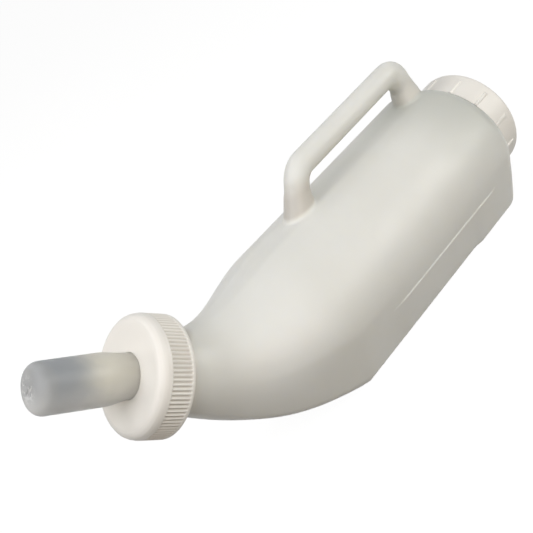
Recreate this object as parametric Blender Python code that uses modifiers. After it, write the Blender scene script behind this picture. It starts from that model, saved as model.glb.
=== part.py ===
"""Calf milk feeder: a blow-moulded bottle with a bent neck, a hollow grip handle and a flat foot,
a soft teat held by a ribbed screw ring, and a wide fill cap with its seal at the rear.

The bottle lies on its foot. +X points to the teat, +Z up through the handle, and the feeder is
symmetric about Y = 0. The origin lies on the flat underside of the foot. Lengths are in metres.
"""
import math

import bmesh
import bpy
from mathutils import Matrix, Vector

# Body of the bottle
BODY_HALF_WIDTH = 0.0667
BODY_HEIGHT = 0.1225
BODY_LENGTH = 0.2363
BODY_REAR_X = -0.1290
REAR_SHOULDER = 0.0185
REAR_DOME = 0.0015
TOP_STRIP_HALF_WIDTH = 0.0120
WALL = 0.0020

# Foot: flat below, with leaning side walls that start at a crease, and a fuller pad at the rear
FOOT_HALF_WIDTH = 0.0472
FOOT_CORNER = 0.0120
PAD_LENGTH = 0.0760
PAD_HALF_WIDTH = 0.0485
PAD_CORNER = 0.0080
PAD_RAMP = 0.0100
CREASE_HEIGHT = 0.0390
CREASE_DEPTH = 0.0011
CREASE_LEDGE = 0.0018
CREASE_REAR = 0.0380
CREASE_RUN_IN = 0.0120
CREASE_FRONT_BACK = 0.0330

# Bend from the body to the neck, as a top and a belly profile in the plane Y = 0
NECK_ANGLE = math.radians(45)
NECK_REACH = 0.1277
MOUTH_RISE = 0.0035
TOP_BEND_BACK = 0.0108
TOP_LEAD = 0.0276
TOP_RUN_IN = 0.0391
BELLY_ANGLE = math.radians(22.8)
BELLY_LEAD = 0.0637
BELLY_RUN_IN = 0.0934
CHIN_ROUND = 0.0060
CHIN_LIFT = 0.00045
BELLY_FLARE = math.radians(9)
WAIST_TOP = 0.0314
WAIST_BELLY = 0.0254
WAIST_LAND = 0.0005
FOOT_FADE = 1.22
WIDTH_FADE = 1.074

# Neck that the teat ring screws on
NECK_RADIUS = 0.0353
NECK_WALL = 0.0035
NECK_LENGTH = 0.0170
NECK_CHAMFER = 0.0035

# Fill neck at the rear
FILL_NECK_RADIUS = 0.0422
FILL_NECK_WALL = 0.0034
FILL_NECK_LENGTH = 0.0264
FILL_NECK_FILLET = 0.0025

# Handle: one hollow tube, its front leg leaning forward
GRIP_RADIUS = 0.0100
HAND_GAP = 0.0184
GRIP_TILT = 0.0010
HANDLE_LENGTH = 0.1375
HANDLE_FROM_REAR = 0.0263
REAR_LEG_LEAN = math.radians(-2.4)
FRONT_LEG_LEAN = math.radians(30.5)
HANDLE_BEND = 0.0100
GRIP_INSIDE_ROUND = 0.0030
BEND_PULL = 0.58
LEG_DEPTH = 0.0105
LEG_TAPER_HEIGHT = 0.0150
ROOT_DEPTH = 0.0134
ROOT_WIDTH = 0.0120
ROOT_FLARE_HEIGHT = 0.0170
HANDLE_SINK = 0.0120
LEG_STATIONS = (-0.0020, 0.0015, 0.0050, 0.0090)
LEG_STATION_ROOM = 0.0020
HANDLE_BORE_SINK = 0.0040

# Gap left between faces that touch
SEAT_GAP = 0.0003

# Teat
FLANGE_CLEARANCE = 0.0005
FLANGE_THICKNESS = 0.0030
TEAT_ROOT_RADIUS = 0.0157
TEAT_SWELL_RADIUS = 0.0179
TEAT_TIP_RADIUS = 0.0174
TEAT_SWELL_AT = 0.0200
TEAT_LENGTH = 0.0700
TEAT_NOSE = 0.0085
TEAT_WALL = 0.0030
TEAT_NOSE_WALL = 0.0040
TEAT_ROOT_FILLET = 0.0012
TEAT_DROOP = math.radians(7.7)
TEAT_DROOP_RUN = 0.0080
TEAT_DROOP_LEAD = 0.0040
SLIT_LENGTH = 0.0100
SLIT_WIDTH = 0.0005
SLIT_DEPTH = 0.0160
SLIT_TURN = math.radians(45)

# Teat ring
THREAD_ROOM = 0.0026
RING_WALL = 0.0040
RING_PLATE = 0.0035
RING_BACK_GAP = 0.0010
TEAT_CLEARANCE = 0.0006
HOLE_EDGE = 0.0006
RING_EDGE = 0.0066
RING_BAND = 0.0018
RING_DRAFT = 0.0014
RING_LIP = 0.0010
RING_DISH = 0.0008
RING_RIM = 0.0024
RING_RIBS = 88
RIB_HEIGHT = 0.0009
RIB_RUNOUT = 0.0006

# Fill cap and its seal
FILL_THREAD_ROOM = 0.0021
CAP_WALL = 0.0046
CAP_PLATE = 0.0030
CAP_BACK_GAP = 0.0043
CAP_EDGE = 0.0035
CAP_BAND = 0.0065
CAP_RIBS = 12
CAP_TURN = math.radians(-8)
CAP_RIB_HEIGHT = 0.0009
CAP_RIB_CREST = 0.0018
CAP_RIB_FOOT = 0.0034
CAP_RIB_RUNOUT = 0.0012
SEAL_THICKNESS = 0.0018
SEAL_WIDTH = 0.0055

# Chamfers at the open end of the ring and of the cap
SKIRT_CHAMFER = 0.0008
SKIRT_CHAMFER_DEPTH = 0.0006
LEAD_IN_DEPTH = 0.0015
LEAD_IN_WIDTH = 0.0012

# How far cutters run past what they cut
OVERRUN = 0.0100
CUT_ALLOWANCE = 0.0001

# Facets
SECTION_ARC_STEPS = 13
CORNER_STEPS = 5
SHOULDER_STEPS = 5
BEND_STEPS = 16
BEND_BORE_STEPS = 12
HANDLE_SIDES = 16
HANDLE_BORE_SIDES = 12
HANDLE_BEND_STEPS = 6
TEAT_SIDES = 40
NOSE_STEPS = 6
BORE_NOSE_STEPS = 4
TEAT_BARREL_STATIONS = (0.66, 0.33, 0.0)
TEAT_ROOT_STATIONS = (0.75, 0.5, 0.25, 0.0)
TEAT_BORE_STATIONS = (0.0, 0.5, 1.0)
BORE_SIDES = 54
RING_EDGE_STEPS = 3
CAP_EDGE_STEPS = 4
CAP_PITCH_STEPS = 4

# Places and sizes that follow from the values above
FOOT_FRONT_X = BODY_REAR_X + BODY_LENGTH
PAD_FRONT_X = BODY_REAR_X + PAD_LENGTH
CREASE_REAR_X = BODY_REAR_X + CREASE_REAR
CREASE_FRONT_X = FOOT_FRONT_X - CREASE_FRONT_BACK
TOP_BEND_X = FOOT_FRONT_X - TOP_BEND_BACK
BODY_AXIS_Z = BODY_HEIGHT / 2
RIM_X = BODY_REAR_X - FILL_NECK_LENGTH
AXIS = Vector((math.cos(NECK_ANGLE), 0.0, math.sin(NECK_ANGLE)))
UPWARD = Vector((-math.sin(NECK_ANGLE), 0.0, math.cos(NECK_ANGLE)))
MOUTH = Vector((FOOT_FRONT_X + NECK_REACH, 0.0, BODY_HEIGHT + MOUTH_RISE))
NECK_BORE = NECK_RADIUS - NECK_WALL
NECK_ROOT = NECK_LENGTH + NECK_CHAMFER
WAIST_DEPTH = NECK_ROOT + WAIST_LAND
WAIST_WIDTH = (WAIST_TOP + WAIST_BELLY) / 2
FILL_NECK_BORE = FILL_NECK_RADIUS - FILL_NECK_WALL
GRIP_HEIGHT = BODY_HEIGHT + HAND_GAP + GRIP_RADIUS
HANDLE_REAR_X = BODY_REAR_X + HANDLE_FROM_REAR
HANDLE_FRONT_X = HANDLE_REAR_X + HANDLE_LENGTH
FLANGE_RADIUS = NECK_RADIUS - FLANGE_CLEARANCE
RING_BORE = NECK_RADIUS + THREAD_ROOM
RING_RADIUS = RING_BORE + RING_WALL + RIB_HEIGHT
RING_HOLE = TEAT_ROOT_RADIUS + TEAT_CLEARANCE
RING_FRONT = SEAT_GAP + FLANGE_THICKNESS + SEAT_GAP + RING_PLATE
RING_DEPTH = NECK_ROOT - RING_BACK_GAP + RING_FRONT
CAP_BORE = FILL_NECK_RADIUS + FILL_THREAD_ROOM
CAP_RADIUS = CAP_BORE + CAP_WALL
CAP_FRONT = SEAT_GAP + SEAL_THICKNESS + SEAT_GAP + CAP_PLATE
CAP_DEPTH = FILL_NECK_LENGTH - CAP_BACK_GAP + CAP_FRONT


def clear_scene():
    for item in list(bpy.data.objects):
        bpy.data.objects.remove(item, do_unlink=True)


def new_collection(name):
    collection = bpy.data.collections.new(name)
    bpy.context.scene.collection.children.link(collection)
    return collection


def plastic(name, color, roughness, transmission=0.0):
    material = bpy.data.materials.new(name)
    material.use_nodes = True
    shader = material.node_tree.nodes["Principled BSDF"]
    shader.inputs["Base Color"].default_value = (*color, 1.0)
    shader.inputs["Roughness"].default_value = roughness
    shader.inputs["Metallic"].default_value = 0.0
    shader.inputs["Transmission Weight"].default_value = transmission
    return material


def smooth_step(t):
    t = min(max(t, 0.0), 1.0)
    return t * t * (3.0 - 2.0 * t)


def blend(a, b, t):
    return a + (b - a) * t


def bezier(points, t):
    a, b, c, d = points
    s = 1.0 - t
    return a * s**3 + b * 3 * s * s * t + c * 3 * s * t * t + d * t**3


def arc(centre, radius, start, end, steps):
    """Points of an arc as (across, up) pairs, both ends included."""
    turns = [blend(start, end, i / steps) for i in range(steps + 1)]
    return [(centre[0] + radius * math.cos(t), centre[1] + radius * math.sin(t)) for t in turns]


# Cross-section of the body
def half_section(foot_half_width, foot_corner, crease_depth):
    """Right half of the body's section, top to bottom, in shares of its half width and half height."""
    half_height = BODY_HEIGHT / 2
    strip_share = TOP_STRIP_HALF_WIDTH / BODY_HALF_WIDTH
    strip_angle = math.asin(strip_share)
    crease_up = CREASE_HEIGHT / half_height - 1.0
    crease_angle = math.acos(crease_up)
    points = [(0.0, math.cos(strip_angle))]
    for i in range(SECTION_ARC_STEPS + 1):
        turn = blend(strip_angle, crease_angle, i / SECTION_ARC_STEPS)
        points.append((math.sin(turn), math.cos(turn)))
    # leaning wall of the foot, from the ledge under the crease to the rounded lower corner
    ledge = Vector((math.sin(crease_angle) * BODY_HALF_WIDTH + crease_depth,
                    CREASE_HEIGHT - CREASE_LEDGE - half_height))
    corner = Vector((foot_half_width, -half_height))
    run = (corner - ledge).normalized()
    lean = math.atan2(-run.x, -run.y)
    tangent = foot_corner * math.tan((math.pi / 2 + lean) / 2 - lean)
    centre = Vector((corner.x - tangent, corner.y + foot_corner))
    points.append((ledge.x / BODY_HALF_WIDTH, ledge.y / half_height))
    for across, up in arc(centre, foot_corner, -lean, -math.pi / 2, CORNER_STEPS):
        points.append((across / BODY_HALF_WIDTH, up / half_height))
    points.append((centre.x / 2 / BODY_HALF_WIDTH, -1.0))
    points.append((0.0, -1.0))
    return points


CREASED_SECTION = half_section(FOOT_HALF_WIDTH, FOOT_CORNER, CREASE_DEPTH)
SMOOTH_SECTION = half_section(FOOT_HALF_WIDTH, FOOT_CORNER, 0.0)
PAD_SECTION = half_section(PAD_HALF_WIDTH, PAD_CORNER, CREASE_DEPTH)
REAR_SECTION = half_section(PAD_HALF_WIDTH, PAD_CORNER, 0.0)


def mixed_section(first, second, share):
    return [(blend(a[0], b[0], share), blend(a[1], b[1], share)) for a, b in zip(first, second)]


def section_ring(top, bottom, half_width, section, foot=1.0, inset=0.0):
    """Closed ring of points between a top and a bottom point of the plane Y = 0.

    foot runs from 0, an ellipse, to 1, the given section. inset draws the ring in by that much."""
    centre = (top + bottom) / 2
    half = (top - bottom) / 2
    half = half * ((half.length - inset) / half.length)
    width = half_width - inset
    side = []
    for across, up in section:
        turn = math.atan2(across, up)
        side.append((blend(math.sin(turn), across, foot), blend(math.cos(turn), up, foot)))
    ring = [centre + half * up + Vector((0, across * width, 0)) for across, up in side]
    ring += [centre + half * up - Vector((0, across * width, 0)) for across, up in side[-2:0:-1]]
    return ring


def upright_ring(x, inset, section):
    top = Vector((x, 0, BODY_HEIGHT))
    return section_ring(top, Vector((x, 0, 0)), BODY_HALF_WIDTH, section, 1.0, inset)


def round_ring_rear(x, radius):
    up = Vector((0, 0, radius))
    centre = Vector((x, 0, BODY_AXIS_Z))
    return section_ring(centre + up, centre - up, radius, SMOOTH_SECTION, 0.0)


def round_ring_neck(along, radius):
    centre = MOUTH + AXIS * along
    return section_ring(centre + UPWARD * radius, centre - UPWARD * radius, radius, SMOOTH_SECTION, 0.0)


def rear_rings(inset, neck_radius, overrun):
    """From the fill neck's rim over the rear wall and its shoulder to the straight body."""
    wall_x = BODY_REAR_X + inset
    fillet = FILL_NECK_FILLET - inset / 2
    shoulder = REAR_SHOULDER - inset
    rings = [round_ring_rear(RIM_X - overrun, neck_radius)]
    rings.append(round_ring_rear(wall_x - REAR_DOME - fillet, neck_radius))
    rings.append(round_ring_rear(wall_x - REAR_DOME, neck_radius + fillet))
    for i in range(SHOULDER_STEPS + 1):
        turn = math.pi / 2 * i / SHOULDER_STEPS
        rings.append(upright_ring(wall_x + shoulder * (1 - math.cos(turn)),
                                  inset + shoulder * (1 - math.sin(turn)), REAR_SECTION))
    return rings


def body_rings(inset):
    """Straight body: the crease starts ahead of the rear shoulder and ends before the bend, and the
    rear pad runs out over a short ramp."""
    half_pad = mixed_section(CREASED_SECTION, PAD_SECTION, 0.5)
    return [
        upright_ring(CREASE_REAR_X, inset, REAR_SECTION),
        upright_ring(CREASE_REAR_X + CREASE_RUN_IN, inset, PAD_SECTION),
        upright_ring(PAD_FRONT_X - PAD_RAMP, inset, PAD_SECTION),
        upright_ring(PAD_FRONT_X - PAD_RAMP / 2, inset, half_pad),
        upright_ring(PAD_FRONT_X, inset, CREASED_SECTION),
        upright_ring(CREASE_FRONT_X, inset, CREASED_SECTION),
    ]


def bend_rings(inset, steps):
    """From the straight body up to the waist behind the teat ring."""
    waist = MOUTH - AXIS * WAIST_DEPTH
    top_end = waist + UPWARD * WAIST_TOP
    belly_end = waist - UPWARD * WAIST_BELLY
    top_start = Vector((TOP_BEND_X, 0, BODY_HEIGHT))
    belly_start = Vector((FOOT_FRONT_X, 0, 0))
    rise = Vector((math.cos(BELLY_ANGLE), 0, math.sin(BELLY_ANGLE)))
    flare = AXIS * math.cos(BELLY_FLARE) + UPWARD * math.sin(BELLY_FLARE)
    top = (top_start, top_start + Vector((TOP_LEAD, 0, 0)), top_end - AXIS * TOP_RUN_IN, top_end)
    belly = (belly_start, belly_start + rise * BELLY_LEAD, belly_end - flare * BELLY_RUN_IN, belly_end)
    rings = [section_ring(top_start - Vector((CHIN_ROUND, 0, 0)), belly_start - Vector((CHIN_ROUND, 0, 0)),
                          BODY_HALF_WIDTH, SMOOTH_SECTION, 1.0, inset)]
    for i in range(steps + 1):
        t = i / steps
        high = bezier(top, t)
        low = bezier(belly, t)
        if i == 0:
            low = low + Vector((0, 0, CHIN_LIFT))
        half_width = blend(BODY_HALF_WIDTH, WAIST_WIDTH, smooth_step(t / WIDTH_FADE))
        if i == steps:
            half_width = WAIST_WIDTH
        foot = 1.0 - smooth_step(t / FOOT_FADE)
        rings.append(section_ring(high, low, half_width, SMOOTH_SECTION, foot, inset))
    return rings


def neck_rings(radius, overrun):
    return [
        round_ring_neck(-NECK_LENGTH, radius),
        round_ring_neck(overrun, radius),
    ]


def loft(name, rings, collection):
    """Closed mesh through rings of equal point counts, with a flat face at each end."""
    mesh = bpy.data.meshes.new(name)
    build = bmesh.new()
    loops = [[build.verts.new(point) for point in ring] for ring in rings]
    count = len(loops[0])
    for near, far in zip(loops, loops[1:]):
        for i in range(count):
            j = (i + 1) % count
            build.faces.new((near[i], near[j], far[j], far[i]))
    build.faces.new(list(reversed(loops[0])))
    build.faces.new(loops[-1])
    bmesh.ops.recalc_face_normals(build, faces=build.faces)
    build.to_mesh(mesh)
    build.free()
    item = bpy.data.objects.new(name, mesh)
    collection.objects.link(item)
    return item


def turned(name, profile, steps, collection):
    """Profile of (radius, height) pairs turned about the local Z axis by a Screw modifier."""
    closed = profile[0][0] > 0 or profile[-1][0] > 0
    mesh = bpy.data.meshes.new(name)
    points = [(radius, 0.0, height) for radius, height in profile]
    edges = [(i, i + 1) for i in range(len(points) - 1)]
    if closed:
        edges.append((len(points) - 1, 0))
    mesh.from_pydata(points, edges, [])
    item = bpy.data.objects.new(name, mesh)
    collection.objects.link(item)
    screw = item.modifiers.new("Turn", "SCREW")
    screw.axis = "Z"
    screw.angle = 2 * math.pi
    screw.steps = steps
    screw.render_steps = steps
    screw.use_merge_vertices = True
    screw.merge_threshold = 0.00001
    return item


def as_cutter(item):
    item.hide_render = True
    item.display_type = "WIRE"
    return item


def as_mesh(item):
    """Replaces an object by the mesh that its modifiers make."""
    graph = bpy.context.evaluated_depsgraph_get()
    graph.update()
    mesh = bpy.data.meshes.new_from_object(item.evaluated_get(graph))
    item.modifiers.clear()
    item.data = mesh
    return item


def combine(target, other, operation):
    step = target.modifiers.new(operation.title(), "BOOLEAN")
    step.operation = operation
    step.solver = "EXACT"
    step.object = other
    return step


def finish(item, material, angle=35):
    """One closed mesh with its material and smooth shading."""
    as_mesh(item)
    build = bmesh.new()
    build.from_mesh(item.data)
    bmesh.ops.remove_doubles(build, verts=build.verts, dist=0.00001)
    bmesh.ops.dissolve_degenerate(build, dist=0.00001, edges=build.edges)
    bmesh.ops.triangulate(build, faces=[f for f in build.faces if len(f.verts) > 4])
    build.to_mesh(item.data)
    build.free()
    item.data.materials.clear()
    item.data.materials.append(material)
    item.data.shade_smooth()
    item.data.set_sharp_from_angle(angle=math.radians(angle))
    return item


# Handle
def handle_pairs(inset):
    """Pairs of an outer and an inner point along the handle, from the rear root to the front root."""
    rear_corner = Vector((HANDLE_REAR_X, 0, GRIP_HEIGHT + GRIP_TILT))
    front_corner = Vector((HANDLE_FRONT_X, 0, GRIP_HEIGHT - GRIP_TILT))
    rear_root = leg_root(rear_corner, REAR_LEG_LEAN)
    front_root = leg_root(front_corner, FRONT_LEG_LEAN)
    pairs = leg_pairs(rear_root, rear_corner, front_corner, inset)
    pairs += corner_pairs(rear_root, rear_corner, front_corner, inset)
    pairs += corner_pairs(rear_corner, front_corner, front_root, inset)
    pairs += reversed(leg_pairs(front_root, front_corner, rear_corner, inset))
    return pairs


def leg_root(corner, lean):
    """Lower end of a leg's centre line, sunk into the body."""
    drop = corner.z - BODY_HEIGHT + HANDLE_SINK
    return corner + Vector((math.tan(lean) * drop, 0, -drop))


def bend_lengths(back, ahead, inset):
    """Tangent lengths of the outer and the inner outline of a corner, and how far the corner starts
    before its point on the centre line."""
    half_angle = back.angle(ahead) / 2
    offset = (GRIP_RADIUS - inset) / math.tan(half_angle)
    least = (GRIP_INSIDE_ROUND + inset) / math.tan(half_angle)
    inner = max(HANDLE_BEND - offset, least)
    return HANDLE_BEND + offset, inner, inner + offset


def leg_pairs(root, corner, other_corner, inset):
    """Stations from the sunk root up to where the bend starts, closer together near the body."""
    run = corner - root
    rise = run.normalized()
    ahead = (other_corner - corner).normalized()
    inward = (ahead - rise * ahead.dot(rise)).normalized()
    stop = run.length - bend_lengths(-rise, ahead, inset)[2]
    body_at = HANDLE_SINK / rise.z
    heights = [0.0] + [body_at + above for above in LEG_STATIONS]
    pairs = []
    for height in heights:
        if height < stop - LEG_STATION_ROOM:
            centre = root + rise * height
            above = centre.z - BODY_HEIGHT
            depth = blend(LEG_DEPTH, GRIP_RADIUS, smooth_step(above / LEG_TAPER_HEIGHT))
            depth = blend(ROOT_DEPTH, depth, smooth_step(above / ROOT_FLARE_HEIGHT)) - inset
            pairs.append((centre - inward * depth, centre + inward * depth))
    return pairs


def corner_pairs(before, corner, after, inset):
    """Corner of the handle: its outer and its inner outline are rounded each for itself."""
    back = (before - corner).normalized()
    ahead = (after - corner).normalized()
    outer_length, inner_length, _ = bend_lengths(back, ahead, inset)
    reach = (back + ahead).normalized() * ((GRIP_RADIUS - inset) / math.sin(back.angle(ahead) / 2))
    outer = rounded_corner(back, corner - reach, ahead, outer_length)
    inner = rounded_corner(back, corner + reach, ahead, inner_length)
    return list(zip(outer, inner))


def rounded_corner(back, corner, ahead, length):
    start = corner + back * length
    end = corner + ahead * length
    pulled = (start, start.lerp(corner, BEND_PULL), end.lerp(corner, BEND_PULL), end)
    return [bezier(pulled, i / HANDLE_BEND_STEPS) for i in range(HANDLE_BEND_STEPS + 1)]


def sunk(pair, following, depth):
    """End pair of the handle, drawn further into the body along its leg."""
    move = (pair[0] + pair[1] - following[0] - following[1]).normalized() * depth
    return pair[0] + move, pair[1] + move


def handle_rings(inset, segments, extra_sink):
    pairs = handle_pairs(inset)
    pairs[0] = sunk(pairs[0], pairs[1], extra_sink)
    pairs[-1] = sunk(pairs[-1], pairs[-2], extra_sink)
    turns = [2 * math.pi * k / segments for k in range(segments)]
    rings = []
    for outer, inner in pairs:
        centre = (outer + inner) / 2
        root = 1.0 - smooth_step((centre.z - BODY_HEIGHT) / ROOT_FLARE_HEIGHT)
        side = Vector((0, blend(GRIP_RADIUS, ROOT_WIDTH, root) - inset, 0))
        reach = (outer - inner) / 2
        rings.append([centre + reach * math.cos(t) + side * math.sin(t) for t in turns])
    return rings


def make_bottle(parts, cutters, material):
    outer = rear_rings(0.0, FILL_NECK_RADIUS, 0.0)
    outer += body_rings(0.0)
    outer += bend_rings(0.0, BEND_STEPS)
    outer += neck_rings(NECK_RADIUS, 0.0)
    bottle = loft("bottle", outer, parts)

    inner = rear_rings(WALL, FILL_NECK_BORE, OVERRUN)
    inner += body_rings(WALL)
    inner += bend_rings(WALL, BEND_BORE_STEPS)
    inner += neck_rings(NECK_BORE, OVERRUN)
    cavity = as_cutter(loft("bottle_cavity", inner, cutters))

    grip = handle_rings(0.0, HANDLE_SIDES, 0.0)
    grip_bore = handle_rings(WALL, HANDLE_BORE_SIDES, HANDLE_BORE_SINK)
    handle = as_cutter(loft("handle_outer", grip, cutters))
    handle_bore = as_cutter(loft("handle_bore", grip_bore, cutters))
    combine(bottle, handle, "UNION")
    combine(cavity, handle_bore, "UNION")
    combine(bottle, cavity, "DIFFERENCE")
    return finish(bottle, material)


# Teat
def teat_radius(along):
    """Outer radius of the barrel, measured from the ring's front face to the nose."""
    if along < TEAT_SWELL_AT:
        return blend(TEAT_ROOT_RADIUS, TEAT_SWELL_RADIUS, smooth_step(along / TEAT_SWELL_AT))
    share = (along - TEAT_SWELL_AT) / (TEAT_LENGTH - TEAT_NOSE - TEAT_SWELL_AT)
    return blend(TEAT_SWELL_RADIUS, TEAT_TIP_RADIUS, share)


def teat_profile():
    """Nose to flange down the outside, then back up the bore. Heights start at the flange's back."""
    front = RING_FRONT - SEAT_GAP
    nose_base = TEAT_LENGTH - TEAT_NOSE
    points = [(0.0, front + TEAT_LENGTH)]
    flat = TEAT_TIP_RADIUS - TEAT_NOSE
    for i in range(1, NOSE_STEPS + 1):
        turn = math.pi / 2 * i / NOSE_STEPS
        height = front + nose_base + TEAT_NOSE * math.cos(turn)
        points.append((flat + TEAT_NOSE * math.sin(turn), height))
    for share in TEAT_BARREL_STATIONS:
        along = blend(TEAT_SWELL_AT, nose_base, share)
        points.append((teat_radius(along), front + along))
    for share in TEAT_ROOT_STATIONS:
        along = TEAT_SWELL_AT * share
        points.append((teat_radius(along), front + along))
    points.append((TEAT_ROOT_RADIUS, FLANGE_THICKNESS + TEAT_ROOT_FILLET))
    points.append((TEAT_ROOT_RADIUS + TEAT_CLEARANCE / 2, FLANGE_THICKNESS))
    points.append((FLANGE_RADIUS, FLANGE_THICKNESS))
    points.append((FLANGE_RADIUS, 0.0))
    points.append((TEAT_ROOT_RADIUS - TEAT_WALL + TEAT_ROOT_FILLET, 0.0))
    points.append((TEAT_ROOT_RADIUS - TEAT_WALL, TEAT_ROOT_FILLET))
    for share in TEAT_BORE_STATIONS:
        along = TEAT_SWELL_AT * share
        points.append((teat_radius(along) - TEAT_WALL, front + along))
    bore_end = TEAT_LENGTH - TEAT_NOSE_WALL
    bore_nose = TEAT_NOSE - TEAT_WALL
    bore_flat = TEAT_TIP_RADIUS - TEAT_WALL - bore_nose
    for i in range(BORE_NOSE_STEPS, -1, -1):
        turn = math.pi / 2 * i / BORE_NOSE_STEPS
        height = front + bore_end - bore_nose * (1 - math.cos(turn))
        points.append((bore_flat + bore_nose * math.sin(turn), height))
    points.append((0.0, front + bore_end))
    return points


def droop(point):
    """Bends a point of the upright teat towards local +X past the ring's front face."""
    start = RING_FRONT - TEAT_DROOP_LEAD
    along = point.z - start
    if along <= 0:
        return point
    radius = TEAT_DROOP_RUN / TEAT_DROOP
    turn = TEAT_DROOP * min(along / TEAT_DROOP_RUN, 1.0)
    centre_x = radius * (1 - math.cos(turn))
    centre_z = start + radius * math.sin(turn)
    rest = max(along - TEAT_DROOP_RUN, 0.0)
    centre_x += rest * math.sin(turn)
    centre_z += rest * math.cos(turn)
    return Vector((centre_x + point.x * math.cos(turn), point.y, centre_z - point.x * math.sin(turn)))


def neck_frame(along):
    """Places a local +Z up the neck axis and local +X down towards the belly side."""
    place = MOUTH + AXIS * along
    columns = (-UPWARD, Vector((0, 1, 0)), AXIS)
    return Matrix.Translation(place) @ Matrix([list(c) for c in columns]).transposed().to_4x4()


def make_teat(parts, cutters, material):
    teat = as_mesh(turned("teat", teat_profile(), TEAT_SIDES, parts))
    for vertex in teat.data.vertices:
        vertex.co = droop(vertex.co)
    teat.matrix_world = neck_frame(SEAT_GAP)
    nose = RING_FRONT - SEAT_GAP + TEAT_LENGTH
    for k, name in enumerate(("teat_slit_a", "teat_slit_b")):
        bpy.ops.mesh.primitive_cube_add(size=1)
        slit = bpy.context.object
        slit.name = name
        for owner in list(slit.users_collection):
            owner.objects.unlink(slit)
        cutters.objects.link(slit)
        tip = droop(Vector((0, 0, nose)))
        turn = Matrix.Rotation(TEAT_DROOP, 4, "Y") @ Matrix.Rotation(SLIT_TURN + math.pi / 2 * k, 4, "Z")
        size = Matrix.Diagonal((SLIT_LENGTH, SLIT_WIDTH, SLIT_DEPTH, 1))
        slit.matrix_world = neck_frame(SEAT_GAP) @ Matrix.Translation(tip) @ turn @ size
        combine(teat, as_cutter(slit), "DIFFERENCE")
    return finish(teat, material)


# Teat ring
def ribbed_ring(height, radius, ribs, depth):
    """Ring of ribs: two points a rib, one on its crest and one in its groove."""
    points = []
    for i in range(ribs * 2):
        turn = math.pi * i / ribs
        reach = radius - (depth if i % 2 else 0.0)
        points.append(Vector((reach * math.cos(turn), reach * math.sin(turn), height)))
    return points


def bore_profile(bore, plate_base):
    """Bore of a ring or cap from its plate down to a lead-in and out past the open end."""
    return [
        (bore, plate_base),
        (bore, LEAD_IN_DEPTH),
        (bore + LEAD_IN_WIDTH, -CUT_ALLOWANCE),
        (bore + LEAD_IN_WIDTH, -OVERRUN),
        (0.0, -OVERRUN),
    ]


def make_teat_ring(parts, cutters, material):
    rib_base = RING_RIM + RIB_RUNOUT
    rib_top = RING_DEPTH - RING_EDGE - RING_BAND
    edge_radius = RING_RADIUS - RING_DRAFT
    rings = [
        ribbed_ring(0.0, RING_RADIUS - SKIRT_CHAMFER_DEPTH, RING_RIBS, 0.0),
        ribbed_ring(SKIRT_CHAMFER, RING_RADIUS, RING_RIBS, 0.0),
        ribbed_ring(RING_RIM, RING_RADIUS, RING_RIBS, 0.0),
        ribbed_ring(rib_base, RING_RADIUS, RING_RIBS, RIB_HEIGHT),
        ribbed_ring(rib_top - RIB_RUNOUT, RING_RADIUS, RING_RIBS, RIB_HEIGHT),
        ribbed_ring(rib_top, RING_RADIUS, RING_RIBS, 0.0),
    ]
    for i in range(RING_EDGE_STEPS + 1):
        turn = math.pi / 2 * i / RING_EDGE_STEPS
        height = RING_DEPTH - RING_EDGE * (1 - math.sin(turn))
        radius = edge_radius - RING_EDGE * (1 - math.cos(turn))
        rings.append(ribbed_ring(height, radius, RING_RIBS, 0.0))
    ring = loft("teat_ring", rings, parts)
    place = neck_frame(RING_FRONT - RING_DEPTH)
    ring.matrix_world = place
    dish_radius = edge_radius - RING_EDGE - RING_LIP
    profile = [
        (0.0, RING_DEPTH + OVERRUN),
        (dish_radius, RING_DEPTH + OVERRUN),
        (dish_radius, RING_DEPTH),
        (RING_HOLE + HOLE_EDGE, RING_DEPTH - RING_DISH),
        (RING_HOLE, RING_DEPTH - RING_DISH - HOLE_EDGE),
        (RING_HOLE, RING_DEPTH - RING_PLATE),
    ]
    profile += bore_profile(RING_BORE, RING_DEPTH - RING_PLATE)
    cutter = as_cutter(turned("teat_ring_bore", profile, BORE_SIDES, cutters))
    cutter.matrix_world = place
    combine(ring, cutter, "DIFFERENCE")
    return finish(ring, material)


# Fill cap
def cap_ring(height, radius, rib_height):
    """Ring with a few narrow raised ribs, each with a flat crest."""
    points = []
    half_crest = CAP_RIB_CREST / 2 / CAP_RADIUS
    half_foot = CAP_RIB_FOOT / 2 / CAP_RADIUS
    pitch = 2 * math.pi / CAP_RIBS
    offsets = [(-half_foot, 0), (-half_crest, rib_height), (half_crest, rib_height), (half_foot, 0)]
    for i in range(1, CAP_PITCH_STEPS):
        offsets.append((blend(half_foot, pitch - half_foot, i / CAP_PITCH_STEPS), 0))
    for k in range(CAP_RIBS):
        middle = pitch * k + CAP_TURN
        for turn, rise in offsets:
            reach = radius + rise
            angle = middle + turn
            points.append(Vector((reach * math.cos(angle), reach * math.sin(angle), height)))
    return points


def rear_frame(x):
    """Places a local +Z along the row's -X on the fill neck's axis, local +X up."""
    columns = (Vector((0, 0, 1)), Vector((0, 1, 0)), Vector((-1, 0, 0)))
    turn = Matrix([list(c) for c in columns]).transposed().to_4x4()
    return Matrix.Translation((x, 0, BODY_AXIS_Z)) @ turn


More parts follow.
